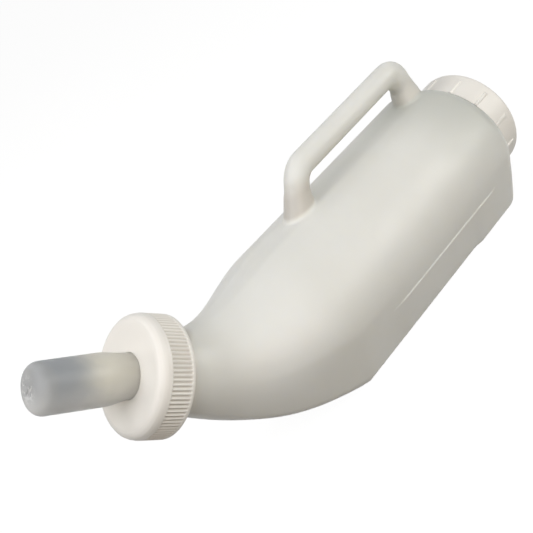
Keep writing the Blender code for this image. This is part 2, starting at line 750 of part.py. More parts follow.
def make_fill_cap(parts, cutters, material):
    rib_top = CAP_DEPTH - CAP_EDGE - CAP_BAND
    rings = [
        cap_ring(0.0, CAP_RADIUS - SKIRT_CHAMFER_DEPTH, CAP_RIB_HEIGHT),
        cap_ring(SKIRT_CHAMFER, CAP_RADIUS, CAP_RIB_HEIGHT),
        cap_ring(rib_top, CAP_RADIUS, CAP_RIB_HEIGHT),
        cap_ring(rib_top + CAP_RIB_RUNOUT, CAP_RADIUS, 0.0),
    ]
    for i in range(CAP_EDGE_STEPS + 1):
        turn = math.pi / 2 * i / CAP_EDGE_STEPS
        height = CAP_DEPTH - CAP_EDGE * (1 - math.sin(turn))
        rings.append(cap_ring(height, CAP_RADIUS - CAP_EDGE * (1 - math.cos(turn)), 0.0))
    cap = loft("fill_cap", rings, parts)
    place = rear_frame(RIM_X - CAP_FRONT + CAP_DEPTH)
    cap.matrix_world = place
    profile = [(0.0, CAP_DEPTH - CAP_PLATE)] + bore_profile(CAP_BORE, CAP_DEPTH - CAP_PLATE)
    cutter = as_cutter(turned("fill_cap_bore", profile, BORE_SIDES, cutters))
    cutter.matrix_world = place
    combine(cap, cutter, "DIFFERENCE")
    return finish(cap, material)


def make_seal(parts, material):
    outer = CAP_BORE - SEAT_GAP
    inner = outer - SEAL_WIDTH
    profile = [(outer, SEAL_THICKNESS), (outer, 0.0), (inner, 0.0), (inner, SEAL_THICKNESS)]
    seal = turned("fill_cap_seal", profile, BORE_SIDES, parts)
    seal.matrix_world = rear_frame(RIM_X - SEAT_GAP)
    return finish(seal, material)


def main():
    clear_scene()
    parts = new_collection("calf_milk_feeder")
    cutters = new_collection("cutters")
    bottle_plastic = plastic("bottle_plastic", (0.78, 0.77, 0.72), 0.38, transmission=0.25)
    cap_plastic = plastic("cap_plastic", (0.86, 0.83, 0.79), 0.42)
    teat_rubber = plastic("teat_rubber", (0.62, 0.63, 0.66), 0.35, transmission=0.5)
    seal_rubber = plastic("seal_rubber", (0.70, 0.69, 0.66), 0.6)
    make_bottle(parts, cutters, bottle_plastic)
    make_teat(parts, cutters, teat_rubber)
    make_teat_ring(parts, cutters, cap_plastic)
    make_fill_cap(parts, cutters, cap_plastic)
    make_seal(parts, seal_rubber)


main()
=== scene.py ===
"""Looks of the calf milk feeder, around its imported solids.

Each solid is dressed with a finer skin that stands for it: the blow-moulded bottle with threads on both
necks and a handle that flows into the body, the soft teat with its cross-cut, the ribbed screw ring, the
fill cap and its seal. The camera stands where the photograph was taken, over a plain pale floor in soft
light. Lengths are in metres, in the frame of the part: +X to the teat, +Z up through the handle.
"""

import math

import bmesh
import bpy
from mathutils import Euler, Matrix, Vector
from mathutils.bvhtree import BVHTree


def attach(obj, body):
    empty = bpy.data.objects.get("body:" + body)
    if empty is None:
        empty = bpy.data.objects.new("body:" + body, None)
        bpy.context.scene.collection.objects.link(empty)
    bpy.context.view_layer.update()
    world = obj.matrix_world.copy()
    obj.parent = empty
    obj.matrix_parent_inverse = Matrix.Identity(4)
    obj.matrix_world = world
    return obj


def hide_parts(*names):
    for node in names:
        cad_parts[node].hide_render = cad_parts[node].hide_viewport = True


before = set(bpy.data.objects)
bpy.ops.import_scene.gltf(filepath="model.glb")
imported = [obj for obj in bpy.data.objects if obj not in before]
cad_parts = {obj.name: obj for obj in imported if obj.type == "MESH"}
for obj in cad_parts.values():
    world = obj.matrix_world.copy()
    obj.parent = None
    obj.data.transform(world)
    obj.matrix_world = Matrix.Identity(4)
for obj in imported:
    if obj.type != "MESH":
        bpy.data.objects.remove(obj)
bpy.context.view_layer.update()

# Body of the bottle
BODY_HALF_WIDTH = 0.0667
BODY_HEIGHT = 0.1225
BODY_LENGTH = 0.2363
BODY_REAR_X = -0.1290
REAR_SHOULDER = 0.0185
REAR_DOME = 0.0015
TOP_STRIP_HALF_WIDTH = 0.0120
WALL = 0.0020

# Foot: flat below, with leaning side walls under a crease, and a fuller pad at the rear
FOOT_HALF_WIDTH = 0.0472
FOOT_CORNER = 0.0120
PAD_LENGTH = 0.0760
PAD_HALF_WIDTH = 0.0485
PAD_CORNER = 0.0080
PAD_RAMP = 0.0100
CREASE_HEIGHT = 0.0390
CREASE_DEPTH = 0.0005
CREASE_LEDGE = 0.0010
CREASE_ROUND = 0.0004
CREASE_SOFT = 0.0140
CREASE_REAR = 0.0380
CREASE_RUN_IN = 0.0120
CREASE_FRONT_BACK = 0.0330
CREASE_FADE = 0.0300

# Bend from the body to the neck
NECK_ANGLE = math.radians(45)
NECK_REACH = 0.1277
MOUTH_RISE = 0.0035
TOP_BEND_BACK = 0.0108
TOP_LEAD = 0.0276
TOP_RUN_IN = 0.0391
BELLY_ANGLE = math.radians(22.8)
BELLY_LEAD = 0.0637
BELLY_RUN_IN = 0.0934
BELLY_FLARE = math.radians(9)
CHIN_ROUND = 0.0060
CHIN_LIFT = 0.00045
WAIST_TOP = 0.0314
WAIST_BELLY = 0.0254
WAIST_LAND = 0.0005
WAIST_BLEND = 0.1
FOOT_FADE = 1.22
WIDTH_FADE = 1.074

# Necks
NECK_RADIUS = 0.0353
NECK_WALL = 0.0035
NECK_LENGTH = 0.0170
NECK_CHAMFER = 0.0035
FILL_NECK_RADIUS = 0.0422
FILL_NECK_WALL = 0.0034
FILL_NECK_LENGTH = 0.0264
FILL_NECK_FILLET = 0.0025
RIM_ROUND = 0.0009

# Threads: one start, 4 mm a turn, as the couplings of the two screw joints say
THREAD_PITCH = 0.0040
THREAD_HEIGHT = 0.0014
THREAD_CREST = 0.16
THREAD_FLANK = 0.20
THREAD_LEAD = 0.0022

# Handle
GRIP_RADIUS = 0.0100
HAND_GAP = 0.0184
GRIP_TILT = 0.0010
HANDLE_LENGTH = 0.1375
HANDLE_FROM_REAR = 0.0263
REAR_LEG_LEAN = math.radians(-2.4)
FRONT_LEG_LEAN = math.radians(30.5)
HANDLE_BEND = 0.0100
GRIP_INSIDE_ROUND = 0.0090
BEND_PULL = 0.58
LEG_DEPTH = 0.0105
LEG_TAPER_HEIGHT = 0.0150
ROOT_DEPTH = 0.0134
ROOT_WIDTH = 0.0120
ROOT_FLARE_HEIGHT = 0.0170
HANDLE_SINK = 0.0120
ROOT_FILLET = 0.0040
OUTER_FILLET = 0.0022
LANDING = 0.00002
LANDING_DIP = 0.0005

# Joint between the pieces
SEAT_GAP = 0.0003

# Teat
FLANGE_CLEARANCE = 0.0005
FLANGE_THICKNESS = 0.0030
TEAT_ROOT_RADIUS = 0.0157
TEAT_SWELL_RADIUS = 0.0179
TEAT_TIP_RADIUS = 0.0174
TEAT_SWELL_AT = 0.0200
TEAT_LENGTH = 0.0700
TEAT_NOSE = 0.0085
TEAT_WALL = 0.0030
TEAT_NOSE_WALL = 0.0040
TEAT_ROOT_FILLET = 0.0012
TEAT_DROOP = math.radians(7.7)
TEAT_DROOP_RUN = 0.0080
TEAT_DROOP_LEAD = 0.0040
SLIT_LENGTH = 0.0100
SLIT_WIDTH = 0.0005
SLIT_DEPTH = 0.0160
SLIT_TURN = math.radians(45)

# Teat ring
THREAD_ROOM = 0.0026
RING_WALL = 0.0040
RING_PLATE = 0.0035
RING_BACK_GAP = 0.0010
TEAT_CLEARANCE = 0.0002
HOLE_EDGE = 0.0004
RING_EDGE = 0.0066
RING_BAND = 0.0018
RING_DRAFT = 0.0014
RING_LIP = 0.0010
RING_DISH = 0.0008
FACE_ROUND = 0.0300
RING_RIM = 0.0024
RING_RIBS = 88
RIB_HEIGHT = 0.0009
RIB_RUNOUT = 0.0006

# Fill cap and its seal
FILL_THREAD_ROOM = 0.0021
CAP_WALL = 0.0046
CAP_PLATE = 0.0030
CAP_BACK_GAP = 0.0043
CAP_EDGE = 0.0035
CAP_BAND = 0.0065
CAP_RIBS = 12
CAP_TURN = math.radians(-8)
CAP_RIB_HEIGHT = 0.0009
CAP_RIB_CREST = 0.0018
CAP_RIB_FOOT = 0.0034
CAP_RIB_RUNOUT = 0.0012
CAP_DISH = 0.0004
CAP_DISH_INSET = 0.0090
SEAL_THICKNESS = 0.0018
SEAL_WIDTH = 0.0055
SEAL_ROUND = 0.0004
SKIRT_CHAMFER = 0.0008
LEAD_IN = 0.0012

# Mesh densities
SECTION_ARC_STEPS = 40
SECTION_WALL_STEPS = 8
SECTION_FOOT_STEPS = 6
CORNER_STEPS = 9
STRIP_STEPS = 4
ROUND_STEPS = 4
PLAIN_NECK_STEPS = 4
CHIN_STEPS = 4
SHOULDER_STEPS = 14
BODY_STEP = 0.0040
BEND_STEPS = 72
THREAD_STEP = 0.0004
HANDLE_SIDES = 40
HANDLE_STEP = 0.0020
HANDLE_BEND_STEPS = 14
FILLET_STEPS = 7
TEAT_SIDES = 96
TEAT_STEP = 0.0014
RING_RIB_SIDES = 6
CAP_RIB_SIDES = 8
CAP_PITCH_SIDES = 10
SEAL_SIDES = 128
NOSE_STEPS = 14
BISECTIONS = 24

# Rounds and merging
LIP_ROUND = 0.0004
ROUND_PULL = 0.55
CUT_SHARE = 0.92
AXIS_HOLE = 0.00005
MERGE = 0.00004
SHARP_ANGLE = math.radians(40)

# Places and sizes that follow from the values above
FOOT_FRONT_X = BODY_REAR_X + BODY_LENGTH
PAD_FRONT_X = BODY_REAR_X + PAD_LENGTH
CREASE_REAR_X = BODY_REAR_X + CREASE_REAR
CREASE_FRONT_X = FOOT_FRONT_X - CREASE_FRONT_BACK
TOP_BEND_X = FOOT_FRONT_X - TOP_BEND_BACK
HALF_HEIGHT = BODY_HEIGHT / 2
UP = Vector((0, 0, 1))
SIDE = Vector((0, 1, 0))
AXIS = Vector((math.cos(NECK_ANGLE), 0.0, math.sin(NECK_ANGLE)))
UPWARD = Vector((-math.sin(NECK_ANGLE), 0.0, math.cos(NECK_ANGLE)))
MOUTH = Vector((FOOT_FRONT_X + NECK_REACH, 0.0, BODY_HEIGHT + MOUTH_RISE))
NECK_BORE = NECK_RADIUS - NECK_WALL
NECK_ROOT = NECK_LENGTH + NECK_CHAMFER
WAIST_DEPTH = NECK_ROOT + WAIST_LAND
WAIST_WIDTH = (WAIST_TOP + WAIST_BELLY) / 2
FILL_NECK_BORE = FILL_NECK_RADIUS - FILL_NECK_WALL
GRIP_HEIGHT = BODY_HEIGHT + HAND_GAP + GRIP_RADIUS
HANDLE_REAR_X = BODY_REAR_X + HANDLE_FROM_REAR
HANDLE_FRONT_X = HANDLE_REAR_X + HANDLE_LENGTH
FLANGE_RADIUS = NECK_RADIUS - FLANGE_CLEARANCE
RING_BORE = NECK_RADIUS + THREAD_ROOM
RING_RADIUS = RING_BORE + RING_WALL + RIB_HEIGHT
RING_HOLE = TEAT_ROOT_RADIUS + TEAT_CLEARANCE
RING_FRONT = SEAT_GAP + FLANGE_THICKNESS + SEAT_GAP + RING_PLATE
RING_DEPTH = NECK_ROOT - RING_BACK_GAP + RING_FRONT
TEAT_START = RING_FRONT - SEAT_GAP
TEAT_TOP = TEAT_START + TEAT_LENGTH
CAP_BORE = FILL_NECK_RADIUS + FILL_THREAD_ROOM
CAP_RADIUS = CAP_BORE + CAP_WALL
CAP_FRONT = SEAT_GAP + SEAL_THICKNESS + SEAT_GAP + CAP_PLATE
CAP_DEPTH = FILL_NECK_LENGTH - CAP_BACK_GAP + CAP_FRONT

# Colours, linear
BOTTLE_PALE = (0.83, 0.835, 0.79, 1.0)
BOTTLE_DEEP = (0.80, 0.80, 0.75, 1.0)
BOTTLE_LEG_SHADE = (0.59, 0.565, 0.52, 1.0)
BOTTLE_REAR_SHADE = (0.55, 0.565, 0.53, 1.0)
CAP_PALE = (0.875, 0.86, 0.825, 1.0)
CAP_DEEP = (0.86, 0.84, 0.80, 1.0)
RIB_VALLEY_SHADE = (0.66, 0.63, 0.58, 1.0)
TEAT_TIP = (0.53, 0.545, 0.56, 1.0)
TEAT_BARREL = (0.49, 0.515, 0.545, 1.0)
TEAT_ROOT = (0.90, 0.88, 0.80, 1.0)
TEAT_PAINTED_UNDERLIGHT = (0.95, 0.95, 0.94, 1.0)
TEAT_GLINT = (0.96, 0.97, 0.97, 1.0)
SEAL_PALE = (0.47, 0.46, 0.43, 1.0)
SEAL_DEEP = (0.42, 0.41, 0.38, 1.0)

# Where the colours change: start and end of each change, and the shares there if not 0 and 1
REAR_SHADE_X = (-0.030, -0.125)
REAR_SHADE_Z = ((0.050, 0.095), (0.1270, 0.1225))
LEG_SHADE_X = (-0.060, 0.0, 0.50, 1.0)
LEG_SHADE_Z = ((0.1222, 0.1262), (0.1500, 0.1350))
PARTING_HALF_WIDTH = 0.0005
VALLEY_SHADE_START = 0.0002
VALLEY_SHADE_BLEND = 0.001
GLINT_REACH = (0.0110, 0.0050)
TEAT_WANDER = 0.018
TEAT_TIP_DEPTH = (0.006, 0.014)
TEAT_ROOT_DEPTH = (0.023, 0.050)
TEAT_UNDERLIGHT_SIDE = (-0.006, 0.018, 0.0, 0.8)

# Patches: scale and detail of a noise, two of its levels, and the values mapped to them
BOTTLE_CLOUDS = (14.0, 3.0, 0.3, 0.7)
CAP_CLOUDS = (30.0, 3.0, 0.3, 0.7)
TEAT_GLINTS = (330.0, 3.0, 0.50, 0.60)
BOTTLE_GLOSS = (60.0, 4.0, 0.25, 0.75, 0.36, 0.48)
CAP_GLOSS = (110.0, 4.0, 0.25, 0.75, 0.33, 0.45)
TEAT_GLOSS = (90.0, 3.0, 0.3, 0.7, 0.34, 0.46)
SEAL_GLOSS = (300.0, 2.0, 0.3, 0.7, 0.5, 0.7)

# Relief: scale and detail of a noise, and its depth in metres
BOTTLE_WAVES = (22.0, 1.0, 0.0006)
BOTTLE_GRAIN = (1500.0, 2.0, 0.000012)
PARTING_DEPTH = 0.00012
CAP_WAVES = (45.0, 1.0, 0.0001)
CAP_GRAIN = (2200.0, 2.0, 0.00001)
TEAT_WAVES = (70.0, 1.0, 0.0003)
TEAT_GRAIN = (1800.0, 2.0, 0.00001)
SEAL_GRAIN = (1500.0, 2.0, 0.00002)

# Plain noise: scale and detail
TEAT_WANDER_NOISE = (60.0, 2.0)
SEAL_CLOUDS = (200.0, 3.0)

# Floor and light. A lamp has a name, a direction from the part, a size, a power and a colour
FLOOR_SIZE = 80.0
FLOOR_Z = -0.0002
FLOOR_GLOW = 1.07
FLOOR_SHADOW = 0.10
FLOOR_PALE = (0.95, 0.95, 0.94, 1.0)
FLOOR_BOUNCE = (0.08, 0.075, 0.06, 1.0)
SKY_COLOUR = (0.90, 1.0, 0.98, 1.0)
SKY_STRENGTH = 0.06
WHITE = (1.0, 1.0, 1.0, 1.0)
LIGHT_AIM = Vector((0.05, 0.0, 0.08))
LIGHT_DISTANCE = 1.8
LAMPS = (
    ("teat_high", (0.67, 0.02, 0.74), 0.9, 10.2, (0.99, 0.99, 1.00)),
    ("over", (0.32, 0.19, 0.93), 0.9, 2.6, (1.00, 0.84, 0.82)),
    ("camera_high", (0.28, 0.69, 0.67), 1.2, 9.6, (0.94, 0.99, 1.00)),
    ("fill_low", (-0.64, 0.71, 0.28), 1.0, 10.6, (0.96, 0.95, 0.90)),
    ("teat_low", (0.94, 0.05, 0.34), 0.9, 2.6, (1.00, 0.90, 0.80)),
    ("camera_low", (0.28, 0.93, 0.22), 1.2, 7.4, (1.00, 0.82, 0.67)),
    ("far_high", (0.09, -0.52, 0.85), 1.1, 5.0, (1.00, 0.97, 0.92)),
    ("far_low", (0.43, -0.84, 0.34), 0.9, 1.5, (1.00, 0.85, 0.65)),
)

# Camera of the photograph
CAMERA_PLACE = Vector((0.41827, 0.52209, 0.40526))
CAMERA_AZIMUTH = math.radians(148.825)
CAMERA_ELEVATION = math.radians(25.803)
CAMERA_ROLL = math.radians(-32.083)
CAMERA_LENS = 61.31
SENSOR = 36.0
CLIP_START = 0.01


# Small helpers
def smooth_step(t):
    t = min(max(t, 0.0), 1.0)
    return t * t * (3.0 - 2.0 * t)


def blend(a, b, t):
    return a + (b - a) * t


def bezier(points, t):
    a, b, c, d = points
    s = 1.0 - t
    return a * s**3 + b * 3 * s * s * t + c * 3 * s * t * t + d * t**3


def spread(start, end, steps):
    """Values from start to end in equal steps, both ends included."""
    return [blend(start, end, i / steps) for i in range(steps + 1)]


def between(first, last, steps):
    """Rings in equal steps between two rings, without those two."""
    return [[a.lerp(b, t) for a, b in zip(first, last)] for t in spread(0.0, 1.0, steps)[1:-1]]


def steps_for(length, step):
    return max(1, math.ceil(length / step))


def square_to(vector, axis):
    """Unit vector of a vector's share square to an axis."""
    return (vector - axis * vector.dot(axis)).normalized()


def even_turns(sides):
    return [2 * math.pi * k / sides for k in range(sides)]


def quarter_turn(steps):
    return spread(0.0, math.pi / 2, steps)


def eased(start, corner, end, t):
    """Point of a curve from start to end that bends round at the corner."""
    return start.lerp(corner, t).lerp(corner.lerp(end, t), t)


def corner_curve(start, corner, end, pull, steps):
    """Rounded corner from start to end, drawn towards the corner by pull, 0 to 1."""
    curve = (start, start.lerp(corner, pull), end.lerp(corner, pull), end)
    return [bezier(curve, t) for t in spread(0.0, 1.0, steps)]


def rounded(corners, step=None):
    """Closed outline from (across, up, radius) corners, each rounded. step cuts it into short parts."""
    points = []
    for i, (across, up, radius) in enumerate(corners):
        here = Vector((across, up))
        back = Vector(corners[i - 1][:2]) - here
        ahead = Vector(corners[(i + 1) % len(corners)][:2]) - here
        if radius == 0.0:
            points.append(here)
            continue
        half = back.angle(ahead) / 2
        cut = min(radius / math.tan(half), back.length * CUT_SHARE, ahead.length * CUT_SHARE)
        start = here + back.normalized() * cut
        end = here + ahead.normalized() * cut
        points += corner_curve(start, here, end, ROUND_PULL, ROUND_STEPS)
    if step is None:
        return points
    dense = []
    for i, point in enumerate(points):
        run = points[(i + 1) % len(points)] - point
        parts = steps_for(run.length, step)
        dense += [point + run * (k / parts) for k in range(parts)]
    return dense


def thread(angle, along, turns_from, turns_to, shift=0.0):
    """Height of a right-handed thread, 0 to 1, at an angle and a distance along its axis."""
    fade = smooth_step((along - turns_from) / THREAD_LEAD) * smooth_step((turns_to - along) / THREAD_LEAD)
    if fade == 0.0:
        return 0.0
    phase = ((along + shift) / THREAD_PITCH - angle / (2 * math.pi)) % 1.0
    away = min(phase, 1.0 - phase)
    return fade * (1.0 - smooth_step((away - THREAD_CREST / 2) / THREAD_FLANK))


# Cross-section of the body
def half_section(foot_half_width, foot_corner, crease_depth):
    """Right half of the body's section, top to bottom, in shares of its half width and half height."""
    strip_angle = math.asin(TOP_STRIP_HALF_WIDTH / BODY_HALF_WIDTH)
    crease_angle = math.acos(CREASE_HEIGHT / HALF_HEIGHT - 1.0)
    points = [Vector((TOP_STRIP_HALF_WIDTH * t, HALF_HEIGHT * math.cos(strip_angle)))
              for t in spread(0.0, 1.0, STRIP_STEPS)[:-1]]
    for turn in spread(strip_angle, crease_angle, SECTION_ARC_STEPS)[:-1]:
        points.append(Vector((BODY_HALF_WIDTH * math.sin(turn), HALF_HEIGHT * math.cos(turn))))
    valley = Vector((BODY_HALF_WIDTH * math.sin(crease_angle), CREASE_HEIGHT - HALF_HEIGHT))
    ledge = valley + Vector((crease_depth, -CREASE_LEDGE))
    # the leaning wall ends in the rounded lower corner of the foot
    corner = Vector((foot_half_width, -HALF_HEIGHT))
    lean = math.atan2(ledge.x - corner.x, ledge.y - corner.y)
    tangent = foot_corner * math.tan((math.pi / 2 + lean) / 2 - lean)
    centre = Vector((corner.x - tangent, corner.y + foot_corner))
    wall_end = centre + Vector((math.cos(lean), -math.sin(lean))) * foot_corner
    points += bend_at(points[-1], valley, ledge)
    points += bend_at(valley, ledge, wall_end)
    start = points[-1]
    points += [start.lerp(wall_end, t) for t in spread(0.0, 1.0, SECTION_WALL_STEPS)[1:-1]]
    for turn in spread(-lean, -math.pi / 2, CORNER_STEPS):
        points.append(centre + Vector((math.cos(turn), math.sin(turn))) * foot_corner)
    points += [Vector((centre.x * t, -HALF_HEIGHT)) for t in spread(1.0, 0.0, SECTION_FOOT_STEPS)[1:]]
    return [(point.x / BODY_HALF_WIDTH, point.y / HALF_HEIGHT) for point in points]


def bend_at(before, corner, after):
    """Rounds one corner of an open outline."""
    start = corner + (before - corner).normalized() * CREASE_ROUND
    end = corner + (after - corner).normalized() * CREASE_ROUND
    return [eased(start, corner, end, t) for t in spread(0.0, 1.0, ROUND_STEPS)]


def softened(section):
    """Section with its crease replaced by a wide round, point for point."""
    points = [Vector((across * BODY_HALF_WIDTH, up * HALF_HEIGHT)) for across, up in section]
    level = CREASE_HEIGHT - HALF_HEIGHT
    k = min(range(len(points)), key=lambda i: abs(points[i].y - level))
    lengths = [0.0]
    for near, far in zip(points, points[1:]):
        lengths.append(lengths[-1] + (far - near).length)
    first, last = (next(i for i, length in enumerate(lengths) if length > lengths[k] + reach)
                   for reach in (-CREASE_SOFT, CREASE_SOFT))
    start, middle, end = points[first], points[k], points[last]
    for i in range(first + 1, last):
        t = (lengths[i] - lengths[first]) / (lengths[last] - lengths[first])
        points[i] = eased(start, middle, end, t)
    return [(point.x / BODY_HALF_WIDTH, point.y / HALF_HEIGHT) for point in points]


CREASED_SECTION = half_section(FOOT_HALF_WIDTH, FOOT_CORNER, CREASE_DEPTH)
SMOOTH_SECTION = softened(half_section(FOOT_HALF_WIDTH, FOOT_CORNER, 0.0))
PAD_SECTION = half_section(PAD_HALF_WIDTH, PAD_CORNER, CREASE_DEPTH)
REAR_SECTION = softened(half_section(PAD_HALF_WIDTH, PAD_CORNER, 0.0))


def mixed_section(first, second, share):
    return [(blend(a[0], b[0], share), blend(a[1], b[1], share)) for a, b in zip(first, second)]


# Angle of every point of a full ring, from the top round the +Y side
SIDE_TURNS = [math.atan2(across, up) for across, up in SMOOTH_SECTION]
ROUND_TURNS = SIDE_TURNS + [2 * math.pi - turn for turn in SIDE_TURNS[-2:0:-1]]


def section_ring(top, bottom, half_width, section, foot, inset):
    """Closed ring of points between a top and a bottom point of the plane Y = 0.

    foot runs from 0, an ellipse, to 1, the given section. inset draws the ring in by that much."""
    centre = (top + bottom) / 2
    half = (top - bottom) / 2
    half = half * ((half.length - inset) / half.length)
    width = half_width - inset
    side = []
    for across, up in section:
        turn = math.atan2(across, up)
        side.append((blend(math.sin(turn), across, foot), blend(math.cos(turn), up, foot)))
    side += [(-across, up) for across, up in side[-2:0:-1]]
    return [centre + half * up + Vector((0, across * width, 0)) for across, up in side]


def upright_ring(x, inset, section):
    top = Vector((x, 0, BODY_HEIGHT))
    return section_ring(top, Vector((x, 0, 0)), BODY_HALF_WIDTH, section, 1.0, inset)


def round_ring(centre, upward, radii):
    """Round ring about a neck's axis, with one radius for each angle of the section."""
    return [centre + (upward * math.cos(t) + SIDE * math.sin(t)) * r for t, r in zip(ROUND_TURNS, radii)]


# Necks with their threads
def fill_neck_ring(outward, radius, threaded=False):
    """Ring of the rear neck, at a distance outward from the rear wall."""
    radii = [radius] * len(ROUND_TURNS)
    if threaded:
        radii = [radius + THREAD_HEIGHT * thread(t, outward, FILL_NECK_FILLET + CAP_BACK_GAP,
                                                 FILL_NECK_LENGTH - RIM_ROUND) for t in ROUND_TURNS]
    return round_ring(Vector((BODY_REAR_X - outward, 0, HALF_HEIGHT)), UP, radii)


def teat_neck_ring(along, radius, threaded=False):
    """Ring of the front neck, at a distance along its axis from its mouth."""
    radii = [radius] * len(ROUND_TURNS)
    if threaded:
        radii = [radius + THREAD_HEIGHT * thread(math.pi - t, along, -NECK_LENGTH + RIM_ROUND, -RIM_ROUND)
                 for t in ROUND_TURNS]
    return round_ring(MOUTH + AXIS * along, UPWARD, radii)


def rim_rings(place, outer, inner, end):
    """Rounded lip between the outside and the bore of a neck."""
    rings = []
    turns = quarter_turn(ROUND_STEPS)
    for radius, way, angles in ((outer, -1, turns), (inner, 1, turns[::-1])):
        for angle in angles:
            back = RIM_ROUND * (1 - math.sin(angle))
            rings.append(place(end - back, radius + way * RIM_ROUND * (1 - math.cos(angle))))
    return rings


def rear_rings(inset, neck_radius, threaded):
    """From the fill neck's lip over the rear wall and its shoulder to the straight body."""
    fillet = FILL_NECK_FILLET - inset / 2
    shoulder = REAR_SHOULDER - inset
    foot = REAR_DOME + fillet - inset
    lip = FILL_NECK_LENGTH - RIM_ROUND
    steps = steps_for(lip - foot, THREAD_STEP) if threaded else PLAIN_NECK_STEPS
    rings = [fill_neck_ring(t, neck_radius, threaded) for t in spread(lip, foot, steps)[1:]]
    for turn in quarter_turn(CORNER_STEPS)[1:]:
        radius = neck_radius + fillet * (1 - math.cos(turn))
        rings.append(fill_neck_ring(foot - fillet * math.sin(turn), radius))
    bend = [upright_ring(BODY_REAR_X + inset + shoulder * (1 - math.cos(turn)),
                         inset + shoulder * (1 - math.sin(turn)), REAR_SECTION)
            for turn in quarter_turn(SHOULDER_STEPS)]
    return rings + between(rings[-1], bend[0], CORNER_STEPS) + bend


def body_rings(inset):
    """Straight body, where the crease fades in and out and the rear pad ends in a short ramp."""
    start = BODY_REAR_X + REAR_SHOULDER
    end = TOP_BEND_X - CHIN_ROUND
    rings = []
    for x in spread(start, end, steps_for(end - start, BODY_STEP))[1:-1]:
        pad = smooth_step((PAD_FRONT_X - x) / PAD_RAMP)
        crease = smooth_step((CREASE_FRONT_X - x) / CREASE_FADE)
        section = mixed_section(SMOOTH_SECTION, CREASED_SECTION, crease)
        padded = mixed_section(REAR_SECTION, PAD_SECTION, smooth_step((x - CREASE_REAR_X) / CREASE_RUN_IN))
        rings.append(upright_ring(x, inset, mixed_section(section, padded, pad)))
    return rings


def bend_rings(inset, steps):
    """From the straight body up to the waist behind the teat ring."""
    waist = MOUTH - AXIS * WAIST_DEPTH
    top_end = waist + UPWARD * WAIST_TOP
    belly_end = waist - UPWARD * WAIST_BELLY
    top_start = Vector((TOP_BEND_X, 0, BODY_HEIGHT))
    belly_start = Vector((FOOT_FRONT_X, 0, 0))
    rise = Vector((math.cos(BELLY_ANGLE), 0, math.sin(BELLY_ANGLE)))
    flare = AXIS * math.cos(BELLY_FLARE) + UPWARD * math.sin(BELLY_FLARE)
    top = (top_start, top_start + Vector((TOP_LEAD, 0, 0)), top_end - AXIS * TOP_RUN_IN, top_end)
    belly = (belly_start, belly_start + rise * BELLY_LEAD, belly_end - flare * BELLY_RUN_IN, belly_end)
    before = Vector((CHIN_ROUND, 0, 0))
    rings = []
    for t in spread(-1.0, 0.0, ROUND_STEPS)[:-1]:
        rings.append(section_ring(top_start + before * t, belly_start + before * t,
                                  BODY_HALF_WIDTH, SMOOTH_SECTION, 1.0, inset))
    for t in spread(0.0, 1.0, steps):
        high = bezier(top, t)
        low = bezier(belly, t) + Vector((0, 0, CHIN_LIFT * (1 - smooth_step(t * steps / CHIN_STEPS))))
        half_width = blend(BODY_HALF_WIDTH, WAIST_WIDTH, smooth_step(t / WIDTH_FADE))
        half_width = blend(half_width, WAIST_WIDTH, smooth_step((t - 1.0 + WAIST_BLEND) / WAIST_BLEND))
        foot = 1.0 - smooth_step(t / FOOT_FADE)
        rings.append(section_ring(high, low, half_width, SMOOTH_SECTION, foot, inset))
    return rings


def neck_rings(radius, threaded):
    """Front neck from its root to its lip."""
    steps = steps_for(NECK_LENGTH, THREAD_STEP) if threaded else PLAIN_NECK_STEPS
    return [teat_neck_ring(t, radius, threaded) for t in spread(-NECK_LENGTH, -RIM_ROUND, steps)[:-1]]


# Handle
def leg_root(corner, lean):
    """Lower end of a leg's centre line, sunk into the body."""
    drop = corner.z - BODY_HEIGHT + HANDLE_SINK
    return corner + Vector((math.tan(lean) * drop, 0, -drop))


def bend_lengths(back, ahead, inset):
    """Tangent lengths of the outer and the inner outline of a corner, and how far the corner starts
    before its point on the centre line."""
    half_angle = back.angle(ahead) / 2
    offset = (GRIP_RADIUS - inset) / math.tan(half_angle)
    least = (GRIP_INSIDE_ROUND + inset) / math.tan(half_angle)
    inner = max(HANDLE_BEND - offset, least)
    return HANDLE_BEND + offset, inner, inner + offset


def leg_pairs(root, corner, other_corner, inset):
    """Outer and inner points of a leg, from the sunk root up to where the bend starts."""
    run = corner - root
    rise = run.normalized()
    ahead = (other_corner - corner).normalized()
    inward = square_to(ahead, rise)
    stop = run.length - bend_lengths(-rise, ahead, inset)[2]
    pairs = []
    for height in spread(0.0, stop, steps_for(stop, HANDLE_STEP))[:-1]:
        centre = root + rise * height
        over = centre.z - BODY_HEIGHT
        depth = blend(LEG_DEPTH, GRIP_RADIUS, smooth_step(over / LEG_TAPER_HEIGHT))
        depth = blend(ROOT_DEPTH, depth, smooth_step(over / ROOT_FLARE_HEIGHT)) - inset
        pairs.append((centre - inward * depth, centre + inward * depth))
    return pairs


def corner_pairs(before, corner, after, inset):
    """Corner of the handle: its outer and its inner outline are rounded each for itself."""
    back = (before - corner).normalized()
    ahead = (after - corner).normalized()
    outer_length, inner_length, _ = bend_lengths(back, ahead, inset)
    reach = (back + ahead).normalized() * ((GRIP_RADIUS - inset) / math.sin(back.angle(ahead) / 2))
    outer = rounded_corner(back, corner - reach, ahead, outer_length)
    inner = rounded_corner(back, corner + reach, ahead, inner_length)
    return list(zip(outer, inner))


def rounded_corner(back, corner, ahead, length):
    start = corner + back * length
    return corner_curve(start, corner, corner + ahead * length, BEND_PULL, HANDLE_BEND_STEPS)


